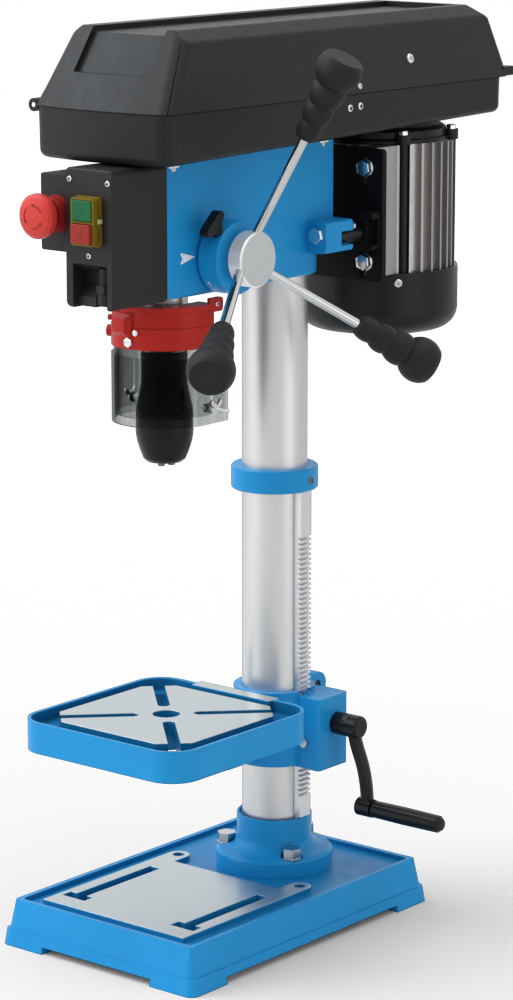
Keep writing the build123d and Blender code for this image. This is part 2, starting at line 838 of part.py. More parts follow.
# A ramp closes the lower left of the pocket beside the gland.
switch_box += prism_x(
    [
        (-box_front + pocket_deep + 1, box_low + 20),
        (-box_front + 7, box_low + 9),
        (-box_front + 7, box_low + 1),
        (-box_front + pocket_deep + 1, box_low + 1),
    ],
    pocket_left - 1,
    gland_x - 9.5,
)
save(switch_box, "switch_box")
gland = cyl_z(5.5, box_low + 12, gland_top + 4) + cyl_z(7, box_low + 4, box_low + 14)
gland += hexagon(15, box_low + 14, box_low + 21)
gland = Pos(gland_x, gland_y, 0) * (gland - cyl_z(3.4, box_low, box_high))
save(gland, "cable_gland")

# Yellow switch frame with its two buttons
nvr_front = -box_front - nvr_out
frame = box(nvr_left, nvr_right, nvr_front, -box_front, nvr_low, nvr_high)
frame = fillet(frame.edges().filter_by(Axis.Y), 3)
nvr_mid = (nvr_low + nvr_high) / 2 - 0.5
button_windows = ((nvr_mid + 1, nvr_high - 1.8), (nvr_low + 1.8, nvr_mid - 1))
for z0, z1 in button_windows:
    frame -= box(nvr_left + 1.8, nvr_right - 1.8, nvr_front - 1, -box_front + 1, z0, z1)
stem_in = 2 + press_gap
frame += box(
    nvr_left + stem_in, nvr_right - stem_in, -box_front, -box_front + 9, nvr_low + stem_in, nvr_high - stem_in
)
frame -= box(nvr_left + 3.5, nvr_right - 3.5, -box_front - 1, -box_front + 6, nvr_low + 3.5, nvr_high - 3.5)
# Stepped side: a foot against the box and a snap notch on each side
foot_rim = box(nvr_left - 0.9, nvr_right + 0.9, -box_front - 2.8, -box_front, nvr_low - 0.9, nvr_high + 0.9)
foot_rim = fillet(foot_rim.edges().filter_by(Axis.Y), 3)
foot_rim -= box(nvr_left + 1, nvr_right - 1, -box_front - 3, -box_front + 1, nvr_low + 1, nvr_high - 1)
frame += foot_rim
for x in (nvr_left, nvr_right):
    for z in (nvr_mid - 11, nvr_mid + 11):
        frame -= box(x - 0.8, x + 0.8, nvr_front + 4.4, nvr_front + 7.2, z - 5.5, z + 5.5)
save(frame, "switch_frame")
button_x0 = nvr_left + 1.8 + seam_gap
button_x1 = nvr_right - 1.8 - seam_gap
button_back = -box_front - 3.2
for name, (z0, z1), proud in zip(("start_button", "stop_button"), button_windows, (1.0, 3.5)):
    button = box(button_x0, button_x1, nvr_front - proud, button_back, z0 + seam_gap, z1 - seam_gap)
    button = fillet(button.edges().filter_by(Axis.Y), 1.5)
    button = fillet(button.faces().sort_by(Axis.Y)[0].edges(), 0.8)
    save(button, name)

# E-stop on its own box
estop_box = box(estop_left, box_left, -estop_front, -estop_back, estop_low, estop_high)
estop_box = fillet(estop_box.edges().filter_by(Axis.Y).group_by(Axis.X)[0], 2)
estop_box -= box(
    estop_left + box_wall,
    box_left - box_wall,
    -estop_front + box_wall,
    -estop_back + 1,
    estop_low + box_wall,
    estop_high - box_wall,
)
estop_box -= cyl_y(10.6, -estop_front - 1, -estop_front + 4, estop_x, estop_z)
save(estop_box, "estop_box")
ef = -estop_front
estop_collar = turned_y(
    [
        (13.4, ef),
        (16.4, ef),
        (16.4, ef - 1.5),
        (15.8, ef - 3),
        (14.8, ef - 10),
        (14.2, ef - 11.5),
        (13.4, ef - 11.5),
    ],
    estop_x,
    estop_z,
)
estop_collar += turned_y(
    [(8, ef + 12), (10.5, ef + 12), (10.5, ef), (13.8, ef), (13.8, ef - 2), (8, ef - 2)], estop_x, estop_z
)
save(estop_collar, "estop_collar")
estop_stem = turned_y(
    [
        (0.0, ef + 4),
        (7.6, ef + 4),
        (7.6, ef - 8),
        (13.0, ef - 8),
        (13.0, ef - 17),
        (9.0, ef - 17),
        (9.0, ef - 20),
        (0.0, ef - 20),
    ],
    estop_x,
    estop_z,
)
save(estop_stem, "estop_stem")
cap_r = estop_cap_r
estop_cap = turned_y(
    [
        (9.0 + run_gap, ef - 17.4),
        (cap_r - 3, ef - 17.4),
        (cap_r - 0.6, ef - 20),
        (cap_r, ef - 23),
        (cap_r - 0.5, ef - 26.5),
        (cap_r - 3, ef - 29),
        (cap_r - 8, ef - 30.5),
        (0.0, ef - 31),
        (0.0, ef - 20.4),
        (9.0 + run_gap, ef - 20.4),
    ],
    estop_x,
    estop_z,
)
save(estop_cap, "estop_cap")

# Quill with rack teeth on its rear side
pinion_pitch_r = module * pinion_teeth / 2
quill = turned_z(
    [
        (spindle_r + run_gap, quill_low),
        (quill_r - 1, quill_low),
        (quill_r, quill_low + 1),
        (quill_r, quill_high - 1),
        (quill_r - 1, quill_high),
        (spindle_r + run_gap, quill_high),
    ],
    0,
    spindle_y,
)
quill_rack_y = feed_y - pinion_pitch_r
for k in range(-5, 16):
    z = feed_z + k * rack_pitch
    groove = [
        (quill_rack_y + 8, z - 0.62 * rack_pitch),
        (quill_rack_y + 1.4, z - 0.42 * rack_pitch),
        (quill_rack_y - 2.0, z - 0.20 * rack_pitch),
        (quill_rack_y - 2.0, z + 0.20 * rack_pitch),
        (quill_rack_y + 1.4, z + 0.42 * rack_pitch),
        (quill_rack_y + 8, z + 0.62 * rack_pitch),
    ]
    quill -= prism_x(groove, -15, 15)
save(quill, "quill")

# Feed shaft with its pinion
shaft = cyl_x(feed_shaft_r, 12, hub_in + 4, feed_y, feed_z)
shaft += cyl_x(feed_journal_r, cap_out - 3, -12, feed_y, feed_z)
teeth = gear_outline(pinion_teeth, pinion_tip, pinion_pitch_r - 2.0, 0.26, 0.10)
pinion = extrude(Polygon(*teeth, align=None), 26, dir=(0, 0, 1))
pinion = Rot(0, 90, 0) * Pos(0, 0, -13) * Rot(0, 0, 90) * pinion
shaft += Pos(0, feed_y, feed_z) * pinion
shaft += cyl_x(pinion_tip + 0.4, 14, head_half - 1, feed_y, feed_z)
save(shaft, "feed_shaft")

# Depth drum with its lock knob
drum_in = head_half + seam_gap
drum = turned_x(
    [
        (feed_shaft_r + run_gap, drum_in),
        (drum_r - 3, drum_in),
        (drum_r, drum_in + 3),
        (drum_r, drum_out - 1.5),
        (drum_r - 1.5, drum_out),
        (feed_shaft_r + run_gap, drum_out),
    ],
    feed_y,
    feed_z,
)
knob_angle = 133.0
knob_x = head_half + 17.5
wing_half = 14.0
knob_base = Pos(knob_x, feed_y, feed_z) * Rot(knob_angle - 90, 0, 0)
drum -= knob_base * cyl_z(3 + run_gap, drum_r - 12, drum_r + 5)
save(drum, "depth_drum")
knob = cyl_z(3, drum_r - 11, drum_r + 4) + cyl_z(5.5, drum_r + 1, drum_r + 5)
wing = [
    (-5.5, drum_r + 4),
    (5.5, drum_r + 4),
    (7, drum_r + 7),
    (wing_half, drum_r + 9),
    (wing_half, drum_r + 15),
    (9, drum_r + 16),
    (-9, drum_r + 16),
    (-wing_half, drum_r + 15),
    (-wing_half, drum_r + 9),
    (-7, drum_r + 7),
]
wings = prism_x(wing, -4.5, 4.5)
wings = fillet(wings.edges().filter_by(Axis.X), 2.8)
knob = knob_base * (knob + wings)
save(knob, "depth_lock_knob")

# Feed hub with three leaning handles
hub = turned_x(
    [
        (feed_shaft_r + press_gap, drum_out + seam_gap),
        (hub_r - 6, drum_out + seam_gap),
        (hub_r - 6, hub_in),
        (hub_r - 1, hub_in),
        (hub_r, hub_in + 1),
        (hub_r, hub_out - 1.5),
        (hub_r - 1.5, hub_out),
        (0.0, hub_out),
        (0.0, hub_in + 4 + press_gap),
        (feed_shaft_r + press_gap, hub_in + 4 + press_gap),
    ],
    feed_y,
    feed_z,
)
handle_lean = degrees(atan2(handle_end_x - handle_root_x, handle_end_r))
handle_length = sqrt((handle_end_x - handle_root_x) ** 2 + handle_end_r**2)
grip_low = handle_length * grip_start
grip_length = handle_length - grip_low
# Four swellings, each as the share of the length and the radius at its waist, crest and next waist
grip_swells = (
    ((0.0, 8.6), (0.11, 10.8), (0.20, 9.7)),
    ((0.20, 9.7), (0.33, 13.2), (0.42, 11.6)),
    ((0.42, 11.6), (0.56, 15.4), (0.66, 13.6)),
    ((0.66, 13.6), (0.88, 20.4), (1.0, 16.4)),
)
rod_end = grip_low + grip_length * 0.7
rod_start = 13.0
for k in range(3):
    turn = handle_turn - 120 * k
    place = Pos(handle_root_x, feed_y, feed_z) * Rot(turn - 90, 0, 0) * Rot(0, handle_lean, 0)
    hub -= place * cyl_z(handle_r + press_gap, rod_start - 0.5, rod_start + 40)
    save(place * cyl_z(handle_r, rod_start, rod_end), "handle_rod_%d" % (k + 1))
    profile = []
    for swell in grip_swells:
        profile.append(ThreePointArc(*[(r, grip_low + share * grip_length) for share, r in swell]))
    end_z = grip_low + grip_length
    profile.append(Polyline((16.4, end_z), (0, end_z), (0, grip_low), (8.6, grip_low)))
    grip = turned_curve(profile)
    grip -= cyl_z(handle_r + press_gap, grip_low - 1, rod_end + press_gap)
    save(place * grip, "handle_grip_%d" % (k + 1))
save(hub, "feed_hub")

# Spindle and keyless chuck
taper_low = chuck_top - 30
spindle = turned_z(
    [
        (0.0, taper_low),
        (7.2, taper_low),
        (8.0, chuck_top),
        (spindle_r + 4, chuck_top + 0.5),
        (spindle_r + 4, quill_low - seam_gap),
        (spindle_r, quill_low - seam_gap),
        (spindle_r, quill_high + 6),
        (spline_r, quill_high + 7),
        (spline_r, spindle_top - 1),
        (spline_r - 1, spindle_top),
        (0.0, spindle_top),
    ],
    0,
    spindle_y,
)
save(spindle, "spindle")
core_low = chuck_low + 2
core_taper = core_low + 13
chuck = turned_z(
    [
        (0.0, core_low + 3),
        (core_nose_r, core_low),
        (core_r, core_taper),
        (core_r, chuck_split),
        (chuck_r - 0.4, chuck_split),
        (chuck_r - 0.2, chuck_split + 1.5),
        (23.6, chuck_split + 9),
        (21.8, chuck_split + 17),
        (20.6, chuck_split + 24),
        (20.4, chuck_split + 40),
        (21.0, chuck_top - 3),
        (20.0, chuck_top),
        (8.0 + press_gap, chuck_top),
        (7.2 + press_gap, taper_low - 0.1),
        (0.0, taper_low - 0.1),
    ],
    0,
    spindle_y,
)
# Short flutes in pairs on the shoulder
flute_low = chuck_split + 14
flute_high = chuck_split + 20
for k in range(8):
    flute = cyl_x(1.3, 19, 26, 0, flute_high) + cyl_x(1.3, 19, 26, 0, flute_low)
    flute += box(19, 26, -1.3, 1.3, flute_low, flute_high)
    flute = flute - cyl_z(20.7, chuck_split, chuck_top)
    chuck -= Pos(0, spindle_y, 0) * Rot(0, 0, 90 * (k // 2) - 5 + (11 * (k % 2) - 5.5)) * flute
bit_bore_r = 6.0
chuck -= cyl_z(bit_bore_r, core_low - 1, core_low + 34, 0, spindle_y)
chuck -= cyl_z(9, core_low - 1, core_low + 12, 0, spindle_y)
jaw_centre = jaw_open + jaw_r / cos(radians(jaw_tilt))
for k in range(3):
    place = Pos(0, spindle_y, 0) * Rot(0, 0, 120 * k + 40)
    along = Pos(jaw_centre, 0, jaw_low) * Rot(0, jaw_tilt, 0)
    chuck -= place * along * cyl_z(jaw_r + run_gap, -20, jaw_length + 17)
    jaw = along * cyl_z(jaw_r, -4, jaw_length)
    jaw -= box(-10, jaw_open, -10, 10, jaw_low - 20, jaw_low + 60)
    jaw -= box(-20, 20, -20, 20, jaw_low - 20, jaw_low)
    save(place * jaw, "chuck_jaw_%d" % (k + 1))
save(chuck, "chuck_body")
sleeve = turned_z(
    [
        (core_nose_r - 1.5, chuck_low),
        (15.5, chuck_low),
        (18.6, chuck_low + 2.6),
        (20.2, chuck_low + 6.5),
        (22.2, chuck_low + 12),
        (24.2, chuck_low + 18.5),
        (chuck_r - 0.2, chuck_low + 25),
        (chuck_r, chuck_low + 30),
        (chuck_r, chuck_split - 3),
        (chuck_r - 0.4, chuck_split - seam_gap),
        (core_r + loose_gap, chuck_split - seam_gap),
        (core_r + loose_gap, core_taper - 0.1),
        (core_nose_r + loose_gap, core_low - seam_gap),
        (core_nose_r - 1.5, core_low - seam_gap),
    ],
    0,
    spindle_y,
)
save(sleeve, "chuck_sleeve")

# Guard: clamp on the quill, holder hinged at the left, two clear shields
hinge_angle = radians(guard_start - 6)
hinge_x = (guard_r + 1.5) * cos(hinge_angle)
hinge_y = spindle_y + (guard_r + 1.5) * sin(hinge_angle)
clamp_ring = cyl_z(clamp_r, clamp_low, clamp_high, 0, spindle_y)
clamp_ring -= cyl_z(quill_r + press_gap, clamp_low - 1, clamp_high + 1, 0, spindle_y)
arm = box(clamp_r - 2, guard_r + 1.5, -4, 4, clamp_low, clamp_high)
clamp_ring += Pos(0, spindle_y, 0) * Rot(0, 0, guard_start - 6) * arm
clamp_ring += cyl_z(hinge_r, clamp_low, clamp_high, hinge_x, hinge_y)
knuckle_low = clamp_low - 13
knuckle_high = clamp_high + 9
clamp_ring += cyl_z(hinge_pin_r, knuckle_low, knuckle_high, hinge_x, hinge_y)
save(clamp_ring, "guard_clamp")


def guard_plan(r_out, r_in, start, left_run, right_run):
    # A bowed front from the start angle round to the right, with straight sides that run back.
    def at(r, angle):
        return (r * cos(radians(angle)), r * sin(radians(angle)))

    mid = (start + 360) / 2
    edges = [
        ThreePointArc(at(r_out, start), at(r_out, mid), (r_out, 0)),
        Line((r_out, 0), (r_out, right_run)),
        Line((r_out, right_run), (r_in, right_run)),
        Line((r_in, right_run), (r_in, 0)),
        ThreePointArc(at(r_in, start), at(r_in, mid), (r_in, 0)),
    ]
    if left_run:
        edges.append(Line(at(r_in, start), (-r_in, left_run)))
        edges.append(Line((-r_in, left_run), (-r_out, left_run)))
        edges.append(Line((-r_out, left_run), at(r_out, start)))
    else:
        edges.append(Line(at(r_in, start), at(r_out, start)))
    return make_face(edges)


def holder_shell(r_out, r_in, z0, z1, start):
    return Pos(0, spindle_y, z0) * extrude(guard_plan(r_out, r_in, start, 0, guard_run), z1 - z0)


def shield_shell(r_out, r_in, z0, z1):
    plan = guard_plan(r_out, r_in, 180, shield_left, shield_right)
    return Pos(0, spindle_y, z0) * extrude(plan, z1 - z0)


holder = holder_shell(guard_r, guard_r - guard_wall, guard_low, guard_high, guard_start)
holder += holder_shell(guard_r, clamp_r + 1.3, guard_high - 4, guard_high, guard_start)
holder += holder_shell(guard_r + guard_flange, guard_r - 1, guard_high - 5, guard_high, guard_start + 8)
holder += holder_shell(guard_r + guard_step, guard_r - 1, guard_low, guard_low + 19, guard_start + 8)
tab_y = spindle_y + guard_run
tab = box(guard_r - 2, guard_r + guard_flange, tab_y - 6, tab_y + 11, guard_high - 7, guard_high + 5)
holder += fillet(tab.edges().filter_by(Axis.X).group_by(Axis.Y)[-1], 3)
mount_block = box(guard_r - 4, guard_r + 5, -13, 13, guard_high - 27.5, guard_high - 6.3)
mount_block = chamfer(mount_block.faces().sort_by(Axis.X)[-1].edges(), 4.5)
holder += Pos(0, spindle_y, 0) * Rot(0, 0, 258) * mount_block
# A round boss and a small ear on the left of the holder
boss = cyl_x(5, guard_r - 0.9, guard_r + 7, 0, guard_high - 29)
boss += box(guard_r - 0.9, guard_r + 6, -3, 3, guard_high - 19, guard_high - 15)
holder += Pos(0, spindle_y, 0) * Rot(0, 0, 201) * boss
for z0, z1 in ((knuckle_low, clamp_low - seam_gap), (clamp_high + seam_gap, knuckle_high)):
    knuckle = cyl_z(hinge_r, z0, z1, hinge_x, hinge_y)
    hold = box(guard_r - 1.2, guard_r + 1, -8, 4, z0, min(z1, guard_high))
    holder += knuckle
    holder += Pos(0, spindle_y, 0) * Rot(0, 0, guard_start + 2) * hold
for z0, z1 in ((knuckle_low, clamp_low - seam_gap), (clamp_high + seam_gap, knuckle_high)):
    holder -= cyl_z(hinge_pin_r + run_gap, z0 - 1, z1 + 1, hinge_x, hinge_y)
holder -= cyl_z(hinge_r + seam_gap, clamp_low - seam_gap, clamp_high + seam_gap, hinge_x, hinge_y)
holder -= Pos(0, spindle_y, 0) * Rot(0, 0, guard_start - 6) * box(
    20, guard_r + 2, -4.6, 4.6, clamp_low - seam_gap, clamp_high + seam_gap
)
save(holder, "guard_holder")
upper_r = guard_r - guard_wall - press_gap
upper_shield = shield_shell(upper_r, upper_r - shield_wall, upper_shield_low, knuckle_low - 1.3)
lower_in = upper_r + 0.5
lower_shield = shield_shell(lower_in + shield_wall, lower_in, lower_shield_low, lower_shield_high)
shield_bolts = None
slot_z0 = upper_shield_low + 6
for turn in (0, 180):
    bolt_back = shield_bolt_back if turn == 0 else -shield_bolt_back
    spot = Pos(0, spindle_y, slot_z0) * Rot(0, 0, turn) * Pos(0, bolt_back, 0)
    slot = cyl_x(2.6, 38, 52, 0, 0) + cyl_x(2.6, 38, 52, 0, shield_travel)
    slot += box(38, 52, -2.6, 2.6, 0, shield_travel)
    lower_shield -= spot * slot
    upper_shield -= spot * cyl_x(2.2 + press_gap, 38, 52, 0, 0)
    shank = cyl_x(2.2, upper_r - shield_wall - 2.0, lower_in + shield_wall + 6, 0, 0)
    head_piece = cyl_x(4.5, upper_r - shield_wall - 3.4, upper_r - shield_wall - 0.6, 0, 0)
    nut = cyl_x(4.8, lower_in + shield_wall + 0.5, lower_in + shield_wall + 3.5, 0, 0)
    nut_face = lower_in + shield_wall + 3
    wing = prism_x([(-3, 0), (3, 0), (8, 6), (6, 9), (0, 3), (-6, 9), (-8, 6)], nut_face, nut_face + 2)
    piece = spot * (shank + head_piece + nut + wing)
    shield_bolts = piece if shield_bolts is None else shield_bolts + piece
save(upper_shield, "shield_upper")
save(lower_shield, "shield_lower")
save(shield_bolts, "shield_bolts")

# Table: rimmed plate with diagonal slots, and a tilt boss under its rear half
table_depth = table_front - table_back
table_mid = -(table_front + table_back) / 2
table_low = table_top - table_thick


def table_outline(inset):
    return RectangleRounded(table_width - 2 * inset, table_depth - 2 * inset, table_corner - inset)


table = Pos(0, table_mid, table_low) * extrude(table_outline(0), table_thick)
plate_bottom = table_top - table_channel
table -= Pos(0, table_mid, plate_bottom) * extrude(table_outline(table_rim), table_channel + 1)
th = table_half
tc = table_cut
plate_points = [(th - tc, -th), (th, -th + tc), (th, th - tc), (th - tc, th)]
plate_points += [(-x, -y) for x, y in plate_points]
table += Pos(0, spindle_y, 0) * prism_z(plate_points, plate_bottom - 1, table_top - 0.4)
table += box(-46, 46, -table_back - table_rim - 6, -table_back + 6, plate_bottom - 1, table_top)
under = Pos(0, table_mid, table_low - 1) * extrude(table_outline(7), table_thick - table_channel - 9)
under -= box(-4, 4, -300, 0, table_low - 2, table_top)
under -= box(-200, 200, spindle_y - 4, spindle_y + 4, table_low - 2, table_top)
under -= cyl_z(table_hole_r + 8, table_low - 2, table_top, 0, spindle_y)
tilt_boss_low = tilt_joint + seam_gap
under -= box(-tilt_r - 1, tilt_r + 1, -tilt_front - 40, 0, table_low - 2, table_top)
table -= under
table += cyl_y(tilt_r, -tilt_front, -tilt_boss_low, 0, tilt_z)
web = [(-tilt_r, tilt_z), (tilt_r, tilt_z), (tilt_r + 3, table_low + 2), (-tilt_r - 3, table_low + 2)]
table += prism_y(web, -tilt_front, -tilt_boss_low)
brace = [(-tilt_front + 1, tilt_z - 12), (-tilt_front + 1, table_low + 2), (-tilt_front - 46, table_low + 2)]
table += prism_x(brace, -5, 5)
table -= cyl_z(table_hole_r, table_low - 20, table_top + 5, 0, spindle_y)
slot_in = 25.0
slot_out = 106.0
for k in range(4):
    slot_r = table_slot / 2
    slot = box(slot_in + slot_r, slot_out, -slot_r, slot_r, table_low - 1, table_top + 5)
    slot += cyl_z(slot_r, table_low - 1, table_top + 5, slot_in + slot_r, 0)
    table -= Pos(0, spindle_y, 0) * Rot(0, 0, 45 + 90 * k) * slot
tilt_bolt_r = 6.0
table -= cyl_y(tilt_bolt_r + press_gap, -tilt_front - 60, 0, 0, tilt_z)
table = table - cyl_y(12, -tilt_front - 60, -tilt_front, 0, tilt_z)
save(table, "table")
tilt_bolt = Rot(0, 0, 0) * hexagon(19, -9.5, 0) + cyl_z(11.5, -0.1, 1.6)
tilt_bolt = Pos(0, -tilt_front - 1.6, tilt_z) * Rot(-90, 0, 0) * tilt_bolt
tilt_bolt += cyl_y(tilt_bolt_r, -tilt_front - 1, -arm_r - 6, 0, tilt_z)
save(tilt_bolt, "tilt_bolt")

# Table arm: split ring on the column, gear housing on the right, tilt boss at the front
arm_bore = column_r + loose_gap
table_arm = cyl_z(arm_r, arm_low, arm_high)
table_arm += cyl_y(tilt_r, -tilt_joint, 0, 0, tilt_z)
housing = box(10, housing_x, housing_front, housing_rear, housing_low, housing_high)
housing = fillet(housing.edges().filter_by(Axis.Z).group_by(Axis.X)[-1], 3)
table_arm += housing
table_arm += cyl_x(crank_hub_r + 2, housing_x - 1, housing_x + 1.0, crank_y, crank_z)
for side in (-1, 1):
    e0 = min(side * 3, side * 14)
    e1 = max(side * 3, side * 14)
    table_arm += cyl_x(clamp_ear_r, e0, e1, clamp_ear_y, clamp_ear_z)
    table_arm += box(e0, e1, 25, clamp_ear_y, clamp_ear_z - clamp_ear_r, clamp_ear_z + clamp_ear_r - 4)
table_arm -= cyl_z(arm_bore, arm_low - 1, arm_high + 20)
table_arm -= box(-3, 3, 20, 80, arm_low - 1, arm_high + 10)
rack_room = rack_half + seam_gap
table_arm -= box(0, rack_out + seam_gap, -rack_room, rack_room, arm_low - 1, arm_high + 1)
gear_z = crank_z - gear_drop
lift_pitch_r = module * lift_teeth / 2
gear_x = rack_out - module + lift_pitch_r
lift_tip = lift_pitch_r + 1.3
table_arm -= cyl_y(lift_tip + 0.6, -rack_half - 0.9, 22.5, gear_x, gear_z)
table_arm -= cyl_y(wheel_r + 0.6, rack_half + 0.5, 22.5, gear_x, gear_z)
worm_in = column_r + 6
table_arm -= cyl_x(worm_r + 0.5, worm_in, housing_x - 5, crank_y, crank_z)
table_arm -= box(worm_in, housing_x - 5, crank_y - worm_r - 0.5, crank_y + worm_r + 0.5, gear_z, crank_z)
table_arm -= cyl_x(5 + run_gap, worm_in - 2, housing_x + 5, crank_y, crank_z)
table_arm -= cyl_y(4.5 + run_gap, housing_front - 1, housing_rear - 4, gear_x, gear_z)
table_arm -= cyl_y(tilt_bolt_r + run_gap, -tilt_joint - 1, -column_r, 0, tilt_z)
lock_r = 4.5
table_arm -= cyl_x(lock_r + run_gap, -20, 20, clamp_ear_y, clamp_ear_z)
save(table_arm, "table_arm")

# Lift gear: a pinion on the rack and a worm wheel on one shaft
lift_outline = gear_outline(lift_teeth, lift_tip, lift_pitch_r - 1.9, 0.25, 0.09)
gear = prism_z(lift_outline, 0, 2 * rack_half)
first_gap = rack_teeth_low
shift = ((gear_z - first_gap) / rack_pitch) % 1.0
gear_turn = 180 - shift * 360 / lift_teeth
gear = Rot(0, 0, gear_turn) * gear
gear = Pos(gear_x, -rack_half, gear_z) * Rot(-90, 0, 0) * Rot(0, 0, 0) * gear
wheel = prism_z(gear_outline(13, wheel_r, wheel_r - 1.6, 0.28, 0.16), 0, 12)
wheel = Pos(gear_x, rack_half + 1, gear_z) * Rot(-90, 0, 0) * wheel
gear += wheel
gear += cyl_y(6, rack_half - 0.5, rack_half + 2, gear_x, gear_z)
gear += cyl_y(4.5, housing_front - 2.5, housing_rear - 6, gear_x, gear_z)
save(gear, "lift_gear")
crank_seat = crank_arm_x + 6
worm = cyl_x(worm_r, worm_in + 4, housing_x - 5.5, crank_y, crank_z)
worm += cyl_x(5, worm_in, crank_seat, crank_y, crank_z)
save(worm, "crank_shaft")

# Crank: hub, outward-bowed arm and a turning grip
grip_z = crank_z - crank_drop
crank = cyl_x(crank_hub_r, housing_x + 1.0 + seam_gap, crank_arm_x + 8, crank_y, crank_z)
crank = fillet(crank.edges().group_by(Axis.X)[-1], 2.5)
path = Spline(
    (crank_arm_x, crank_y, crank_z - 4),
    (crank_arm_x + 9, crank_y, crank_z - 32),
    (crank_end_x, crank_y, grip_z + 2),
    tangents=((0.12, 0, -1), (0.02, 0, -1)),
)
section = Plane(origin=path @ 0, z_dir=path % 0, x_dir=(0, 1, 0)) * Ellipse(7.0, 5.0)
crank += sweep(section, path)
crank += cyl_x(8.4, crank_end_x - 9, crank_end_x + 7, crank_y, grip_z)
pin_r = 3.5
crank += cyl_x(pin_r, crank_end_x, crank_grip_end - 5, crank_y, grip_z)
crank -= cyl_x(5 + press_gap, 0, crank_seat + press_gap, crank_y, crank_z)
save(crank, "crank_arm")
crank_grip = turned_x(
    [
        (pin_r + run_gap, crank_end_x + 7 + seam_gap),
        (crank_grip_r - 0.8, crank_end_x + 7 + seam_gap),
        (crank_grip_r, crank_end_x + 9),
        (crank_grip_r + 0.4, (crank_end_x + crank_grip_end) / 2),
        (crank_grip_r, crank_grip_end - 4),
        (crank_grip_r - 2.5, crank_grip_end - 0.6),
        (0.0, crank_grip_end),
        (0.0, crank_grip_end - 4.5),
        (pin_r + run_gap, crank_grip_end - 4.5),
    ],
    crank_y,
    grip_z,
)
save(crank_grip, "crank_grip")

# Table lock lever through the clamp ears, on the hidden side
lever = cyl_x(lock_r, -38, 13, clamp_ear_y, clamp_ear_z) + cyl_x(8, -34, -14.5, clamp_ear_y, clamp_ear_z)
lever_arm = cyl_z(4, -78, 0) + cyl_z(6.5, -92, -70)
lever += Pos(-28, clamp_ear_y, clamp_ear_z) * Rot(25, 0, 0) * lever_arm
save(lever, "table_lock_lever")
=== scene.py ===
"""Bench drill press: finishes for every casting and fitting, small fasteners, studio and camera."""

from math import cos, pi, radians, sin, sqrt

import bmesh
import bpy
from mathutils import Matrix, Vector


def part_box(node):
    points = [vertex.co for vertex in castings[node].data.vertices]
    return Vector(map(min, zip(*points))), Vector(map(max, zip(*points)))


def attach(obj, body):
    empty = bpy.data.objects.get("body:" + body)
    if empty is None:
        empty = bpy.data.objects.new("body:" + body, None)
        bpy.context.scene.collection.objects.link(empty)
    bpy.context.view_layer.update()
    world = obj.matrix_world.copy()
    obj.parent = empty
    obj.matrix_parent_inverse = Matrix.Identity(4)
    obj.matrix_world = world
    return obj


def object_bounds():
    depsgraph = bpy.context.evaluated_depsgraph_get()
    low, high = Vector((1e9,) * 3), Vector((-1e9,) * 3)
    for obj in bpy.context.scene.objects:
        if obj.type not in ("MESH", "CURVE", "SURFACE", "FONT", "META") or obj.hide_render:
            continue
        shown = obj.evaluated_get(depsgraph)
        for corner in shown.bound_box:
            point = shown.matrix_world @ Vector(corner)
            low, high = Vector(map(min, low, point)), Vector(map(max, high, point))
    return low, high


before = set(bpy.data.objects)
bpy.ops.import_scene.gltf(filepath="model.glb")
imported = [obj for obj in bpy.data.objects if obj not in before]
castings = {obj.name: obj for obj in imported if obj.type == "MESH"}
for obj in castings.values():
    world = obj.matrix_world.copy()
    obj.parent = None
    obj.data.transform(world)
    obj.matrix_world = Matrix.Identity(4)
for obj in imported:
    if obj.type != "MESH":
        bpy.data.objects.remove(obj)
cad_low, cad_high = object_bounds()

MM = 0.001

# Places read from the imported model
base_low, base_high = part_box("base")
switch_low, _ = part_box("switch_box")
yellow_low, yellow_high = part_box("switch_frame")
start_low, start_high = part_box("start_button")
stop_low, stop_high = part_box("stop_button")
table_low, table_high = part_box("table")
drum_low, drum_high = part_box("depth_drum")
_, hub_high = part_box("feed_hub")
_, plate_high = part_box("motor_plate")
cowl_low, cowl_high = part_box("fan_cowl")
bell_low, bell_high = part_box("motor_bell")
collar_low, collar_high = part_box("rack_collar")
estop_low, estop_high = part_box("estop_cap")
quill_low, quill_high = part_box("quill")

spindle_axis = (quill_low + quill_high) / 2
motor_axis = (bell_low + bell_high) / 2
feed_axis = (drum_low + drum_high) / 2
estop_axis = (estop_low + estop_high) / 2


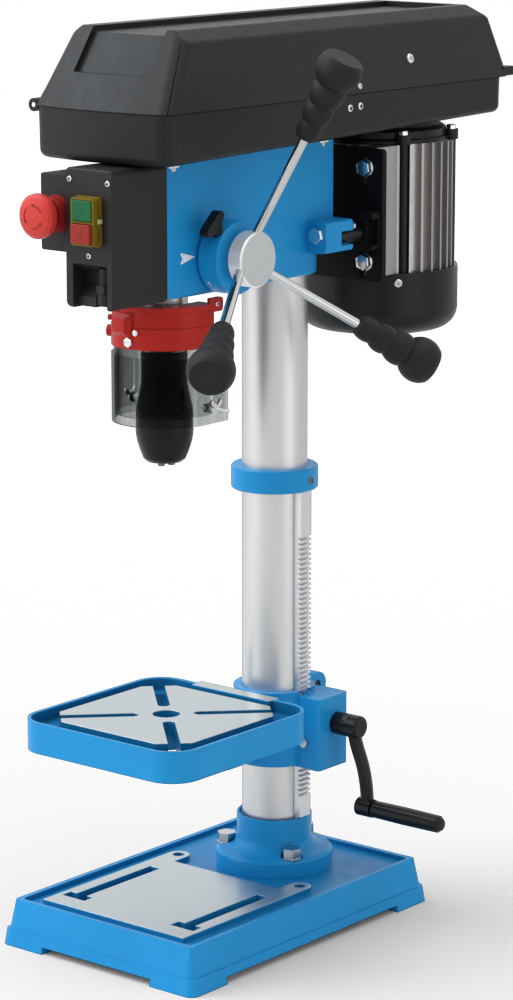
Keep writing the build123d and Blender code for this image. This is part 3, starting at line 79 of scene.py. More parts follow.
class Finish:
    """One material: a principled shader whose textures read the piece's own coordinates."""

    def __init__(self, name):
        self.material = bpy.data.materials.new(name)
        self.material.use_nodes = True
        self.tree = self.material.node_tree
        self.shader = self.tree.nodes["Principled BSDF"]
        self.coords = self.add("ShaderNodeTexCoord").outputs["Object"]

    def add(self, kind, **values):
        node = self.tree.nodes.new(kind)
        for key, value in values.items():
            setattr(node, key, value)
        return node

    def feed(self, value, socket):
        """Sets a plain value on a socket, or links another node's output to it."""
        if isinstance(value, tuple):
            socket.default_value = (*value, 1.0)
        elif isinstance(value, (int, float)):
            socket.default_value = value
        else:
            self.tree.links.new(value, socket)

    def set(self, **values):
        for key, value in values.items():
            self.feed(value, self.shader.inputs[key.replace("_", " ")])

    def stretched(self, scale):
        node = self.add("ShaderNodeMapping")
        node.inputs["Scale"].default_value = scale
        self.feed(self.coords, node.inputs["Vector"])
        return node.outputs["Vector"]

    def noise(self, scale, detail=3.0, vector=None):
        node = self.add("ShaderNodeTexNoise")
        node.inputs["Scale"].default_value = scale
        node.inputs["Detail"].default_value = detail
        self.feed(vector or self.coords, node.inputs["Vector"])
        return node.outputs["Fac"]

    def span(self, value, low, high, start=0.3, end=0.7):
        """Maps a value from start and end onto low and high."""
        node = self.add("ShaderNodeMapRange")
        for number, socket in zip((value, start, end, low, high), node.inputs):
            self.feed(number, socket)
        return node.outputs["Result"]

    def mix(self, factor, first, second, kind="RGBA"):
        """Blends two colours, or two numbers; the mix node has sockets of its own for each kind."""
        node = self.add("ShaderNodeMix", data_type=kind)
        first_in, second_in, result = {"RGBA": (6, 7, 2), "FLOAT": (2, 3, 0)}[kind]
        self.feed(factor, node.inputs[0])
        self.feed(first, node.inputs[first_in])
        self.feed(second, node.inputs[second_in])
        return node.outputs[result]

    def math(self, operation, first, second=0.0):
        node = self.add("ShaderNodeMath", operation=operation)
        self.feed(first, node.inputs[0])
        self.feed(second, node.inputs[1])
        return node.outputs["Value"]

    def axes(self):
        node = self.add("ShaderNodeSeparateXYZ")
        self.feed(self.coords, node.inputs["Vector"])
        return node.outputs["X"], node.outputs["Y"], node.outputs["Z"]

    def relief(self, height, strength, depth, soft_edge):
        """Surface bump; soft_edge rounds the shading of sharp corners by that radius."""
        node = self.add("ShaderNodeBump")
        node.inputs["Strength"].default_value = strength
        node.inputs["Distance"].default_value = depth
        self.feed(height, node.inputs["Height"])
        corner = self.add("ShaderNodeBevel", samples=4)
        corner.inputs["Radius"].default_value = soft_edge
        self.feed(corner.outputs["Normal"], node.inputs["Normal"])
        self.set(Normal=node.outputs["Normal"])


# Sizes of the base, the table and the hub that their finishes follow, in millimetres
BASE_RIM_MIDDLE = 12.5  # inwards from the base's outer edge
TABLE_HALF_WIDTH = 95.5
TABLE_HALF_DEPTH = 97.75
TABLE_CORNER = 28.0
TABLE_RIM_MIDDLE = 1.5
PLATE_REACH = 80.0
STRIP_DEPTH = 14.0
STRIP_HALF = 46.5

# How far below its highest face a piece still counts as that face, in millimetres
RIM_SKIN = 0.9
PAD_SKIN = 0.2
HUB_SKIN = 0.25

# Depth of surface bumps and radius of softened edges, in metres
PAINT_BUMP = 0.0002
METAL_BUMP = 0.0001
PAINT_EDGE = 0.0009
METAL_EDGE = 0.0004
HUB_EDGE = 0.0006
PLASTIC_EDGE = 0.0006
COVER_EDGE = 0.0012

BLUE = (0.014, 0.300, 0.660)
BLUE_DEEP = (0.012, 0.275, 0.615)
GROUND_STEEL = (0.53, 0.59, 0.615)
GROUND_DARK = (0.46, 0.515, 0.54)


def enamel(name, light, deep, gloss=(0.30, 0.42), ground_area=None, hollow_painted_shade=None, shine=0.16):
    """Sprayed enamel on a casting, with optional bare ground metal and painted shade in its hollows."""
    f = Finish(name)
    f.set(Specular_IOR_Level=shine)
    paint = f.mix(f.span(f.noise(14.0, detail=4.0), 0.0, 1.0), light, deep)
    # Painted shade: hollows get a darker copy of the deep blue, standing in for the shade that falls there.
    if hollow_painted_shade:
        shaded_area, shade = hollow_painted_shade
        paint = f.mix(shaded_area(f), paint, tuple(c * shade for c in deep))
    peel = f.noise(420.0, detail=2.0)
    gloss_map = f.span(f.noise(60.0), *gloss)
    if ground_area is None:
        f.set(Base_Color=paint, Roughness=gloss_map)
        f.relief(peel, 0.06, PAINT_BUMP, PAINT_EDGE)
        return f.material
    bare = ground_area(f)
    marks = f.noise(260.0, detail=2.0, vector=f.stretched((1.0, 14.0, 1.0)))
    steel = f.mix(f.span(marks, 0.0, 1.0), GROUND_STEEL, GROUND_DARK)
    steel_gloss = f.span(marks, 0.26, 0.38)
    f.set(
        Base_Color=f.mix(bare, paint, steel),
        Metallic=bare,
        Roughness=f.mix(bare, gloss_map, steel_gloss, "FLOAT"),
    )
    f.relief(f.mix(bare, peel, marks, "FLOAT"), 0.06, PAINT_BUMP, PAINT_EDGE)
    return f.material


def base_pad_area(f):
    """The ground pad, which stands a little above the base's rim."""
    return f.math("GREATER_THAN", f.axes()[2], base_high.z - PAD_SKIN * MM)


def table_plate_area(f):
    """The ground plate and the flat strip at the rear of the table."""
    x, y, z = f.axes()
    across = f.math("ABSOLUTE", x)
    along = f.math("ABSOLUTE", f.math("SUBTRACT", y, spindle_axis.y))
    inside = f.math("LESS_THAN", f.math("MAXIMUM", across, along), PLATE_REACH * MM)
    rear = f.math("GREATER_THAN", y, table_high.y - STRIP_DEPTH * MM)
    strip = f.math("MULTIPLY", rear, f.math("LESS_THAN", across, STRIP_HALF * MM))
    top = f.math("GREATER_THAN", z, table_high.z - RIM_SKIN * MM)
    return f.math("MULTIPLY", top, f.math("MAXIMUM", inside, strip))


def base_trough_painted_shade(f):
    """Where painted shade darkens the base: the floor inside its rim and the walls of its slots."""
    x, y, z = f.axes()
    middle = (base_low.y + base_high.y) / 2
    along = f.math("ABSOLUTE", f.math("SUBTRACT", y, middle))
    within_x = f.math("LESS_THAN", f.math("ABSOLUTE", x), base_high.x - BASE_RIM_MIDDLE * MM)
    within_y = f.math("LESS_THAN", along, base_high.y - middle - BASE_RIM_MIDDLE * MM)
    below = f.math("LESS_THAN", z, base_high.z - RIM_SKIN * MM)
    return f.math("MULTIPLY", below, f.math("MULTIPLY", within_x, within_y))


def table_channel_painted_shade(f):
    """Where painted shade darkens the table: the channel inside its rounded rim and the walls of its slots.
    """
    x, y, z = f.axes()
    middle = table_low.y + TABLE_HALF_DEPTH * MM
    across = f.math("ABSOLUTE", x)
    along = f.math("ABSOLUTE", f.math("SUBTRACT", y, middle))
    past_x = f.math("SUBTRACT", across, (TABLE_HALF_WIDTH - TABLE_CORNER) * MM)
    past_y = f.math("SUBTRACT", along, (TABLE_HALF_DEPTH - TABLE_CORNER) * MM)
    turn_x = f.math("MAXIMUM", past_x, 0.0)
    turn_y = f.math("MAXIMUM", past_y, 0.0)
    square = f.math("ADD", f.math("MULTIPLY", turn_x, turn_x), f.math("MULTIPLY", turn_y, turn_y))
    inside = f.math("LESS_THAN", f.math("SQRT", square), (TABLE_CORNER - TABLE_RIM_MIDDLE) * MM)
    below = f.math("LESS_THAN", z, table_high.z - RIM_SKIN * MM)
    return f.math("MULTIPLY", below, inside)


def metal(name, tone, rough, lines, relief=0.06, dark=0.82):
    """Bare metal with fine tool marks; lines stretches them along an axis."""
    f = Finish(name)
    marks = f.noise(180.0, vector=f.stretched(lines))
    worn = tuple(c * dark for c in tone)
    f.set(
        Metallic=1.0,
        Base_Color=f.mix(f.span(marks, 0.0, 1.0), tone, worn),
        Roughness=f.span(marks, *rough),
    )
    f.relief(marks, relief, METAL_BUMP, METAL_EDGE)
    return f.material


def hub_satin(name):
    """Turned hub: satin barrel painted near white as a painted highlight, with a flat face towards the
    operator's right painted grey as painted shade.
    """
    f = Finish(name)
    face = f.math("GREATER_THAN", f.axes()[0], hub_high.x - HUB_SKIN * MM)
    marks = f.noise(240.0, detail=2.0, vector=f.stretched((9.0, 1.0, 1.0)))
    # Painted light: the barrel is painted brighter and the face darker than the one steel would be under
    # even light.
    barrel_painted_highlight = f.mix(f.span(marks, 0.0, 1.0), (0.95, 0.945, 0.935), (0.92, 0.915, 0.905))
    face_painted_shade = f.mix(f.span(marks, 0.0, 1.0), (0.585, 0.615, 0.615), (0.57, 0.60, 0.60))
    f.set(
        Base_Color=f.mix(face, barrel_painted_highlight, face_painted_shade),
        Metallic=f.mix(face, 0.5, 0.75, "FLOAT"),
        Roughness=f.mix(face, f.span(marks, 0.32, 0.38), 0.34, "FLOAT"),
    )
    f.relief(marks, 0.004, METAL_BUMP, HUB_EDGE)
    return f.material


def moulded(name, tone, rough, grain, relief=0.08, shade=0.85, soft_edge=PLASTIC_EDGE, shine=0.2):
    """Moulded plastic or rubber with a fine grain and slow changes of tone."""
    f = Finish(name)
    drift = f.span(f.noise(22.0), 0.0, 1.0)
    f.set(
        Specular_IOR_Level=shine,
        Base_Color=f.mix(drift, tone, tuple(c * shade for c in tone)),
        Roughness=f.span(f.noise(90.0), *rough),
    )
    f.relief(f.noise(grain, detail=2.0), relief, PAINT_BUMP, soft_edge)
    return f.material


def clear_sheet(name):
    """Smoky clear sheet with faint upright streaks; painted shade darkens it where it bends away from the
    eye, standing in for dark reflections.
    """
    f = Finish(name)
    # Painted shade: the sheet's colour goes near black towards grazing angles.
    turned_away = f.add("ShaderNodeLayerWeight")
    turned_away.inputs["Blend"].default_value = 0.5
    grazing_painted_shade = f.span(turned_away.outputs["Facing"], 0.0, 1.0, start=0.4, end=0.9)
    streaks = f.noise(30.0, detail=1.0, vector=f.stretched((6.0, 6.0, 0.15)))
    sheet = f.mix(f.span(streaks, 0.0, 1.0), (0.68, 0.69, 0.69), (0.54, 0.55, 0.55))
    f.set(
        IOR=1.03,
        Transmission_Weight=1.0,
        Roughness=0.0,
        Base_Color=f.mix(grazing_painted_shade, sheet, (0.05, 0.052, 0.052)),
    )
    return f.material


blue_enamel = enamel("blue_enamel", BLUE, BLUE_DEEP)
# The base and table are painted darker in their hollows, as painted shade.
blue_base = enamel(
    "blue_enamel_base", BLUE, BLUE_DEEP, ground_area=base_pad_area, hollow_painted_shade=(base_trough_painted_shade, 0.78)
)
blue_table = enamel(
    "blue_enamel_table", BLUE, BLUE_DEEP, ground_area=table_plate_area, hollow_painted_shade=(table_channel_painted_shade, 0.55)
)
black_enamel = enamel("black_enamel", (0.007, 0.008, 0.008), (0.006, 0.007, 0.007), shine=0.22)
plate_black = enamel(
    "plate_black", (0.006, 0.006, 0.007), (0.005, 0.005, 0.006), gloss=(0.40, 0.50), shine=0.08
)

cover_black = moulded(
    "cover_black",
    (0.014, 0.014, 0.014),
    (0.40, 0.48),
    grain=520.0,
    relief=0.06,
    shade=0.9,
    soft_edge=COVER_EDGE,
)
switch_black = moulded("switch_black", (0.020, 0.019, 0.018), (0.44, 0.54), grain=620.0, shade=0.9)
grip_rubber = moulded("grip_rubber", (0.013, 0.014, 0.015), (0.50, 0.62), grain=900.0, relief=0.10)
crank_black = moulded(
    "crank_black", (0.006, 0.006, 0.006), (0.28, 0.38), grain=300.0, relief=0.05, shade=0.8, shine=0.22
)
chuck_black = moulded(
    "chuck_black", (0.008, 0.008, 0.008), (0.26, 0.36), grain=800.0, relief=0.05, shine=0.16
)
belt_rubber = moulded("belt_rubber", (0.014, 0.014, 0.014), (0.6, 0.75), grain=600.0, relief=0.2, shade=0.8)

# Grain of the small coloured mouldings
SMOOTH = {"grain": 500.0, "relief": 0.04}
SATIN = {"grain": 500.0, "relief": 0.05, "shade": 0.88, "shine": 0.14}
guard_red = moulded("guard_red", (0.450, 0.019, 0.013), (0.30, 0.40), **SATIN)
switch_yellow = moulded("switch_yellow", (0.185, 0.128, 0.008), (0.34, 0.44), **SATIN)
estop_red = moulded("estop_red", (0.620, 0.045, 0.038), (0.30, 0.40), shade=0.92, **SMOOTH)
# The stem and collar use a darker copy of the cap's red: painted shade where the cap shades them.
estop_neck_painted_shade = moulded("estop_neck_painted_shade", (0.300, 0.018, 0.015), (0.30, 0.40), shade=0.92, shine=0.16, **SMOOTH)
button_red = moulded("button_red", (0.310, 0.027, 0.018), (0.30, 0.40), shade=0.92, shine=0.16, **SMOOTH)
button_green = moulded("button_green", (0.010, 0.130, 0.045), (0.30, 0.40), shade=0.88, shine=0.16, **SMOOTH)
clip_pale = moulded("clip_pale", (0.46, 0.43, 0.24), (0.40, 0.50), shade=0.9, **SMOOTH)
pointer_white = moulded("pointer_white", (0.90, 0.92, 0.95), (0.4, 0.5), shade=0.95, **SMOOTH)
arrow_dark = moulded("arrow_dark", (0.26, 0.014, 0.012), (0.4, 0.5), shade=0.9, **SMOOTH)

# Directions of the tool marks, and the bare metals
EVEN = (4.0, 4.0, 4.0)
TURNED = (1.0, 1.0, 9.0)
column_steel = metal(
    "column_steel", (0.64, 0.632, 0.618), (0.36, 0.42), (0.4, 0.4, 22.0), relief=0.015, dark=0.97
)
ground_steel = metal("ground_steel", (0.62, 0.625, 0.63), (0.24, 0.34), TURNED)
rack_steel = metal(
    "rack_steel", (0.70, 0.705, 0.71), (0.30, 0.38), (2.0, 2.0, 2.0), relief=0.01, dark=0.96
)
rod_chrome = metal(
    "rod_chrome", (0.58, 0.58, 0.57), (0.05, 0.08), (3.0, 3.0, 3.0), relief=0.004, dark=0.96
)
zinc_plate = metal("zinc_plate", (0.76, 0.77, 0.78), (0.16, 0.28), EVEN, relief=0.03, dark=0.9)
screw_dark = metal("screw_dark", (0.16, 0.165, 0.17), (0.20, 0.30), EVEN, relief=0.02, dark=0.9)
bolt_steel = metal("bolt_steel", (0.56, 0.58, 0.61), (0.14, 0.24), EVEN, relief=0.03, dark=0.85)
fin_alloy = metal("fin_alloy", (0.42, 0.405, 0.395), (0.30, 0.42), (6.0, 6.0, 0.5), dark=0.85)
pulley_alloy = metal("pulley_alloy", (0.62, 0.63, 0.64), (0.28, 0.42), (1.0, 1.0, 12.0))
hub_finish = hub_satin("hub_satin")
shield_clear = clear_sheet("shield_clear")

FINISHES = {
    blue_base: ("base",),
    blue_table: ("table",),
    blue_enamel: ("column_flange", "rack_collar", "head_casting", "depth_drum", "table_arm"),
    cover_black: ("belt_tray", "lid"),
    switch_black: ("switch_box", "estop_box", "cable_gland"),
    black_enamel: ("motor_bell", "fan_cowl", "spring_cap", "table_lock_lever", "tie_rods", "slide_rods"),
    plate_black: ("motor_plate",),
    crank_black: ("crank_arm", "crank_grip", "depth_lock_knob"),
    grip_rubber: ("handle_grip_1", "handle_grip_2", "handle_grip_3"),
    column_steel: ("column_tube",),
    rack_steel: ("rack",),
    ground_steel: ("quill", "spindle", "feed_shaft", "lift_gear", "crank_shaft", "guard_clamp"),
    hub_finish: ("feed_hub",),
    rod_chrome: ("handle_rod_1", "handle_rod_2", "handle_rod_3"),
    zinc_plate: ("shield_bolts", "lid_hinge_pins"),
    bolt_steel: ("flange_bolts", "tilt_bolt"),
    screw_dark: ("chuck_jaw_1", "chuck_jaw_2", "chuck_jaw_3"),
    fin_alloy: ("motor_body",),
    pulley_alloy: ("spindle_pulley", "motor_pulley"),
    chuck_black: ("chuck_body", "chuck_sleeve"),
    guard_red: ("guard_holder",),
    estop_red: ("estop_cap",),
    estop_neck_painted_shade: ("estop_stem", "estop_collar"),
    button_red: ("stop_button",),
    button_green: ("start_button",),
    switch_yellow: ("switch_frame",),
    shield_clear: ("shield_upper", "shield_lower"),
    belt_rubber: ("v_belt",),
}
for finish, names in FINISHES.items():
    for name in names:
        castings[name].data.materials.clear()
        castings[name].data.materials.append(finish)


def facing(point, direction, turn=0.0):
    """Stands a shape made along +Z on a point in millimetres, pointing along direction."""
    swing = Vector(direction).to_track_quat("Z", "Y").to_matrix().to_4x4()
    return Matrix.Translation(Vector(point) * MM) @ swing @ Matrix.Rotation(radians(turn), 4, "Z")


SHARP_EDGE = radians(30.0)


def settle(name, bm, finish, body, where):
    """Moves a finished mesh, made in millimetres, to its place and lets it ride on a body."""
    bmesh.ops.remove_doubles(bm, verts=bm.verts, dist=1e-4)
    bmesh.ops.recalc_face_normals(bm, faces=bm.faces)
    bmesh.ops.transform(bm, matrix=where @ Matrix.Scale(MM, 4), verts=bm.verts)
    mesh = bpy.data.meshes.new(name)
    bm.to_mesh(mesh)
    bm.free()
    mesh.shade_smooth()
    mesh.set_sharp_from_angle(angle=SHARP_EDGE)
    mesh.materials.append(finish)
    piece = bpy.data.objects.new(name, mesh)
    bpy.context.scene.collection.objects.link(piece)
    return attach(piece, body)


def spin_profile(bm, points, steps=32):
    """Turns (radius, height) points about +Z."""
    ring = [bm.verts.new((r, 0, z)) for r, z in points]
    edges = [bm.edges.new(pair) for pair in zip(ring, ring[1:])]
    bmesh.ops.spin(
        bm, geom=ring + edges, axis=(0, 0, 1), cent=(0, 0, 0), angle=2 * pi, steps=steps, use_merge=True
    )


def round_edges(bm, edges, size):
    """Breaks edges with a small round in two steps."""
    bmesh.ops.bevel(
        bm,
        geom=edges,
        offset=size,
        offset_type="OFFSET",
        segments=2,
        profile=0.5,
        affect="EDGES",
        clamp_overlap=True,
        material=-1,
    )


def raised_plate(bm, outline, low, high, edge):
    """A flat plate with the given outline, with a rounded upper edge."""
    face = bm.faces.new([bm.verts.new((x, y, low)) for x, y in outline])
    grown = bmesh.ops.extrude_face_region(bm, geom=[face], use_keep_orig=True)
    top = {g for g in grown["geom"] if isinstance(g, bmesh.types.BMVert)}
    bmesh.ops.translate(bm, vec=(0, 0, high - low), verts=list(top))
    upper = [e for e in bm.edges if all(v in top for v in e.verts)]
    round_edges(bm, upper, edge)


def hex_bolt(name, body, point, direction, across, height=5.3, washer=0.0, turn=0.0):
    """Hexagon head with a chamfered crown, and a washer where one is given."""
    bm = bmesh.new()
    lift = 1.4 if washer else 0.0
    corner = across / sqrt(3)
    middle = Matrix.Translation((0, 0, lift + height / 2))
    bmesh.ops.create_cone(
        bm, segments=6, cap_ends=True, radius1=corner, radius2=corner, depth=height, matrix=middle
    )
    crown = [e for e in bm.edges if all(v.co.z > lift + height - 0.1 for v in e.verts)]
    round_edges(bm, crown, 0.07 * across)
    top = max(bm.faces, key=lambda face: face.calc_center_median().z)
    bmesh.ops.inset_individual(bm, faces=[top], thickness=0.12 * across)
    bmesh.ops.translate(bm, vec=(0, 0, 0.02 * across), verts=top.verts)
    if washer:
        spin_profile(bm, [(0, 0), (washer, 0), (washer, lift - 0.4), (washer - 0.4, lift), (0, lift)])
    return settle(name, bm, zinc_plate, body, facing(point, direction, turn))


def edges_of(verts):
    """The edges that meet at any of these points."""
    return list({edge for vert in verts for edge in vert.link_edges})


def draw_down(bm, rim_edges, rings):
    """Pulls a round rim through (radius, height) rings, which makes the side of a head."""
    for reach, level in rings:
        grown = bmesh.ops.extrude_edge_only(bm, edges=rim_edges)
        verts = [g for g in grown["geom"] if isinstance(g, bmesh.types.BMVert)]
        rim_edges = [e for e in bm.edges if all(v in verts for v in e.verts)]
        for vert in verts:
            side = Vector((vert.co.x, vert.co.y)).normalized() * reach
            vert.co = (side.x, side.y, level)


def press_in(bm, faces, depth):
    """Sinks faces straight down to the floor of a recess."""
    sunk = bmesh.ops.extrude_discrete_faces(bm, faces=faces)
    floor_verts = list({v for face in sunk["faces"] for v in face.verts})
    bmesh.ops.translate(bm, vec=(0, 0, -depth), verts=floor_verts)


def cross_screw(name, body, point, direction, radius, height):
    """Pan head with a cross recess pressed into it."""
    bm = bmesh.new()
    arm = 0.62 * radius
    web = 0.17 * radius
    outline = []
    for quarter in range(4):
        spin = Matrix.Rotation(quarter * pi / 2, 3, "Z")
        outline += [spin @ Vector(p) for p in ((arm, -web, 0), (arm, web, 0), (web, web, 0))]
    cross = bm.faces.new([bm.verts.new(p) for p in outline])
    bmesh.ops.subdivide_edges(bm, edges=cross.edges[:], cuts=1)
    recess = bm.faces[:]
    cross_edges = bm.edges[:]
    ring = bmesh.ops.create_circle(bm, segments=24, radius=0.8 * radius)
    ring_edges = edges_of(ring["verts"])
    bmesh.ops.bridge_loops(bm, edges=cross_edges + ring_edges)
    draw_down(bm, ring_edges, ((0.97 * radius, -0.3 * height), (1.03 * radius, -height)))
    press_in(bm, recess, 0.6 * height)
    bmesh.ops.translate(bm, vec=(0, 0, height), verts=bm.verts)
    return settle(name, bm, zinc_plate, body, facing(point, direction, turn=20.0))


def socket_screw(name, body, point, direction, radius, height=0.6, finish=zinc_plate):
    """Set screw: a chamfered ring round a sunk hexagon socket."""
    bm = bmesh.new()
    socket = bmesh.ops.create_circle(bm, segments=6, radius=0.62 * radius, cap_ends=True)
    hole = bm.faces[:]
    bmesh.ops.subdivide_edges(bm, edges=edges_of(socket["verts"]), cuts=3)
    hole_edges = bm.edges[:]
    rim = bmesh.ops.create_circle(bm, segments=24, radius=0.85 * radius)
    rim_edges = edges_of(rim["verts"])
    bmesh.ops.bridge_loops(bm, edges=hole_edges + rim_edges)
    draw_down(bm, rim_edges, ((radius, -0.15 * radius), (radius, -height - 0.5)))
    press_in(bm, hole, 0.9 * height)
    bmesh.ops.translate(bm, vec=(0, 0, height), verts=bm.verts)
    return settle(name, bm, finish, body, facing(point, direction))


RIGHT = (1, 0, 0)
FRONT = (0, -1, 0)
REAR = (0, 1, 0)
UP = (0, 0, 1)

# Faces and axes that carry fittings, in millimetres
DRUM_GAP = 0.4
PLATE_THICK = 6.0
head_side = drum_low.x / MM - DRUM_GAP
motor_y = motor_axis.y / MM
plate_front = plate_high.y / MM - PLATE_THICK
box_front = switch_low.y / MM
spindle_y = spindle_axis.y / MM
feed_y = feed_axis.y / MM
feed_z = feed_axis.z / MM


def round_motor(angle, radius, z):
    """A point round the motor axis, in millimetres."""
    return Vector((radius * cos(radians(angle)), motor_y + radius * sin(radians(angle)), z))


def outward(angle):
    """The level direction at an angle round an upright axis."""
    return Vector((cos(radians(angle)), sin(radians(angle)), 0))


# Bolts that hold the motor plate and clamp its slide rods
MOTOR_BOLT_X = 49.5
MOTOR_BOLT_LEVELS = (("high", 693.4), ("low", 606.8))
SLIDE_BOLT = (50.5, -1.0, 638.5)
SLIDE_STOP = (57.6, 38.9, 644.0)
for hand, side in (("left", -1), ("right", 1)):
    for level, z in MOTOR_BOLT_LEVELS:
        spot = (side * MOTOR_BOLT_X, plate_front, z)
        hex_bolt(f"motor_bolt_{level}_{hand}", "motor", spot, FRONT, across=13.5, washer=8.2, turn=8)
    spot = (side * SLIDE_BOLT[0], *SLIDE_BOLT[1:])
    hex_bolt(f"slide_bolt_{hand}", "stand", spot, FRONT, across=13.5, turn=12)
    spot = (side * SLIDE_STOP[0], *SLIDE_STOP[1:])
    hex_bolt(f"slide_stop_{hand}", "stand", spot, REAR, across=6.5, height=3.2)

# Screws round the fan cowl and nuts on the motor's tie rods
COWL_SCREW_ANGLES = (-38.2, 51.0, 141.0, 231.0)
COWL_SCREW_DROP = 8.6
COWL_SCREW_SEAT = 0.4
TIE_ROD_ANGLES = (33.0, 147.0, 213.0, 327.0)
TIE_ROD_REACH = 68.0
TIE_ROD_TOP = 720.0
cowl_r = (cowl_high.x - cowl_low.x) / 2 / MM
for k, angle in enumerate(COWL_SCREW_ANGLES):
    spot = round_motor(angle, cowl_r - COWL_SCREW_SEAT, cowl_high.z / MM - COWL_SCREW_DROP)
    cross_screw(f"cowl_screw_{k + 1}", "motor", spot, outward(angle), radius=4.0, height=2.4)
for k, angle in enumerate(TIE_ROD_ANGLES):
    spot = round_motor(angle, TIE_ROD_REACH, TIE_ROD_TOP)
    hex_bolt(f"tie_nut_{k + 1}", "motor", spot, UP, across=8.0, height=4.0, turn=angle)

# Screws in the switch box and the pulley cover
SWITCH_SCREWS = ((-10.4, 709.4), (32.8, 708.0), (11.0, 645.0))
TRAY_SIDE = 72.6
TRAY_SCREWS = ((16.2, 753.2), (31.2, 754.0))
LID_SLOPE = (0.968, 0, 0.252)
LID_SCREW = (67.2, 112.0, 791.0)
LID_SIDE_SCREW = (72.2, 31.0, 771.8)
for k, (x, z) in enumerate(SWITCH_SCREWS):
    cross_screw(f"switch_screw_{k + 1}", "stand", (x, box_front, z), FRONT, radius=2.6, height=1.4)
for k, (y, z) in enumerate(TRAY_SCREWS):
    cross_screw(f"tray_screw_{k + 1}", "stand", (TRAY_SIDE, y, z), RIGHT, radius=3.4, height=1.9)
cross_screw("lid_screw", "lid", LID_SCREW, LID_SLOPE, radius=4.6, height=2.4)
cross_screw("lid_side_screw", "lid", LID_SIDE_SCREW, LID_SLOPE, radius=2.8, height=1.5)

# Set screws in the rack collar, the crank and the depth drum
COLLAR_SLOPE = (0.995, 0.1, 0)
CRANK_SCREW = (77.0, 8.0, 190.4)
CRANK_SLOPE = (0, -0.58, 0.81)
DRUM_SCREW_X = 45.6
collar_mid = (collar_low.z + collar_high.z) / 2 / MM
collar_spot = (39.9, 4.0, collar_mid - 1.0)
drum_r = (drum_high.z - drum_low.z) / 2 / MM
drum_spoke = Vector((0, -23.4, -21.8)).normalized()
drum_spot = Vector((DRUM_SCREW_X, feed_y, feed_z)) + drum_spoke * (drum_r - 0.2)
socket_screw(
    "collar_set_screw", "stand", collar_spot, COLLAR_SLOPE, radius=3.8, height=0.8, finish=screw_dark
)
socket_screw("crank_set_screw", "crank", CRANK_SCREW, CRANK_SLOPE, radius=2.4, finish=screw_dark)
socket_screw("drum_set_screw", "depth_drum", drum_spot, drum_spoke, radius=2.6)

# Guard fittings: two hexagon screws at the front, one screw on the right ear, and the long shield stud
GUARD_R = 46.0
GUARD_SCREWS = (("small", -80.7, 570.5, 5.0), ("large", -90.7, 561.4, 8.2))
GUARD_EAR = (46.6, -138.0, 592.4)
for label, angle, z, across in GUARD_SCREWS:
    spot = outward(angle) * GUARD_R + Vector((0, spindle_y, z))
    hex_bolt(f"guard_screw_{label}", "guard_door", spot, outward(angle), across=across, height=2.6, turn=10)
cross_screw("guard_ear_screw", "guard_door", GUARD_EAR, RIGHT, radius=2.3, height=1.5)


def shield_stud():
    """Long thread of the right wing nut, with rings for its turns."""
    bm = bmesh.new()
    crest, root, pitch = 1.5, 1.15, 0.7
    turns = [(0.0, 0.0), (crest, 0.0)]
    for k in range(18):
        turns += [(crest, pitch * k + 0.2), (root, pitch * k + 0.55)]
    turns += [(1.4, 12.9), (0.9, 13.6), (0.0, 13.6)]
    spin_profile(bm, turns, steps=16)
    stud_foot = (51.0, spindle_y + 11.0, 500.0)
    settle("shield_stud", bm, zinc_plate, "guard_door", facing(stud_foot, RIGHT))


shield_stud()


def on_right_face(x, y, z):
    """Turns a plate drawn in (Y, Z) onto a face that looks to the right."""
    place = Matrix.Translation(Vector((x, y, z)) * MM)
    return place @ Matrix(((0, 0, 1, 0), (1, 0, 0, 0), (0, 1, 0, 0), (0, 0, 0, 1)))


def pointer_plate():
    """White arrow beside the depth drum, held by two rivets at its notched tail."""
    arrow_y, rivet_y, level = -167.2, -173.6, 635.5
    bm = bmesh.new()
    outline = [(-10.0, -4.8), (-7.6, -4.8), (10.2, 0.0), (-7.6, 4.8), (-10.0, 4.8), (-6.6, 0.0)]
    raised_plate(bm, outline, low=-0.3, high=0.5, edge=0.15)
    settle("depth_pointer", bm, pointer_white, "stand", on_right_face(head_side, arrow_y, level))
    for k, offset in enumerate((-2.7, 2.7)):
        bm = bmesh.new()
        spin_profile(bm, [(1.0, -0.2), (1.0, 0.2), (0.6, 0.5), (0.0, 0.6)], steps=16)
        where = on_right_face(head_side + 0.5, rivet_y, level + offset)
        settle(f"pointer_rivet_{k + 1}", bm, zinc_plate, "stand", where)


pointer_plate()


def tray_clip(name, y, z):
    """Small T-shaped clip that holds the belt tray down on the head."""
    bm = bmesh.new()
    bar = [(2.6, -0.2), (7.2, 0.6), (7.2, 2.0), (-6.4, 2.0), (-6.4, 0.6), (-2.6, -0.2)]
    raised_plate(bm, [(-2.2, -2.6), (2.2, -2.6)] + bar, low=-0.3, high=1.2, edge=0.3)
    settle(name, bm, zinc_plate, "stand", on_right_face(head_side, y, z))


tray_clip("tray_clip_front", y=-186.0, z=714.6)
tray_clip("tray_clip_rear", y=22.5, z=719.4)


def switch_clips():
    """Pale snap tabs on both sides of the yellow frame."""
    for hand, side, edge, z in (("right", 1, yellow_high.x, 676.0), ("left", -1, yellow_low.x, 680.0)):
        bm = bmesh.new()
        outline = [(-2.4, -2.2), (2.4, -1.6), (2.4, 1.6), (-2.4, 2.2)]
        raised_plate(bm, outline, low=-0.4, high=1.8, edge=0.6)
        where = facing((edge / MM, box_front - 3.4, z), (side, 0, 0))
        settle(f"switch_clip_{hand}", bm, clip_pale, "stand", where)


switch_clips()


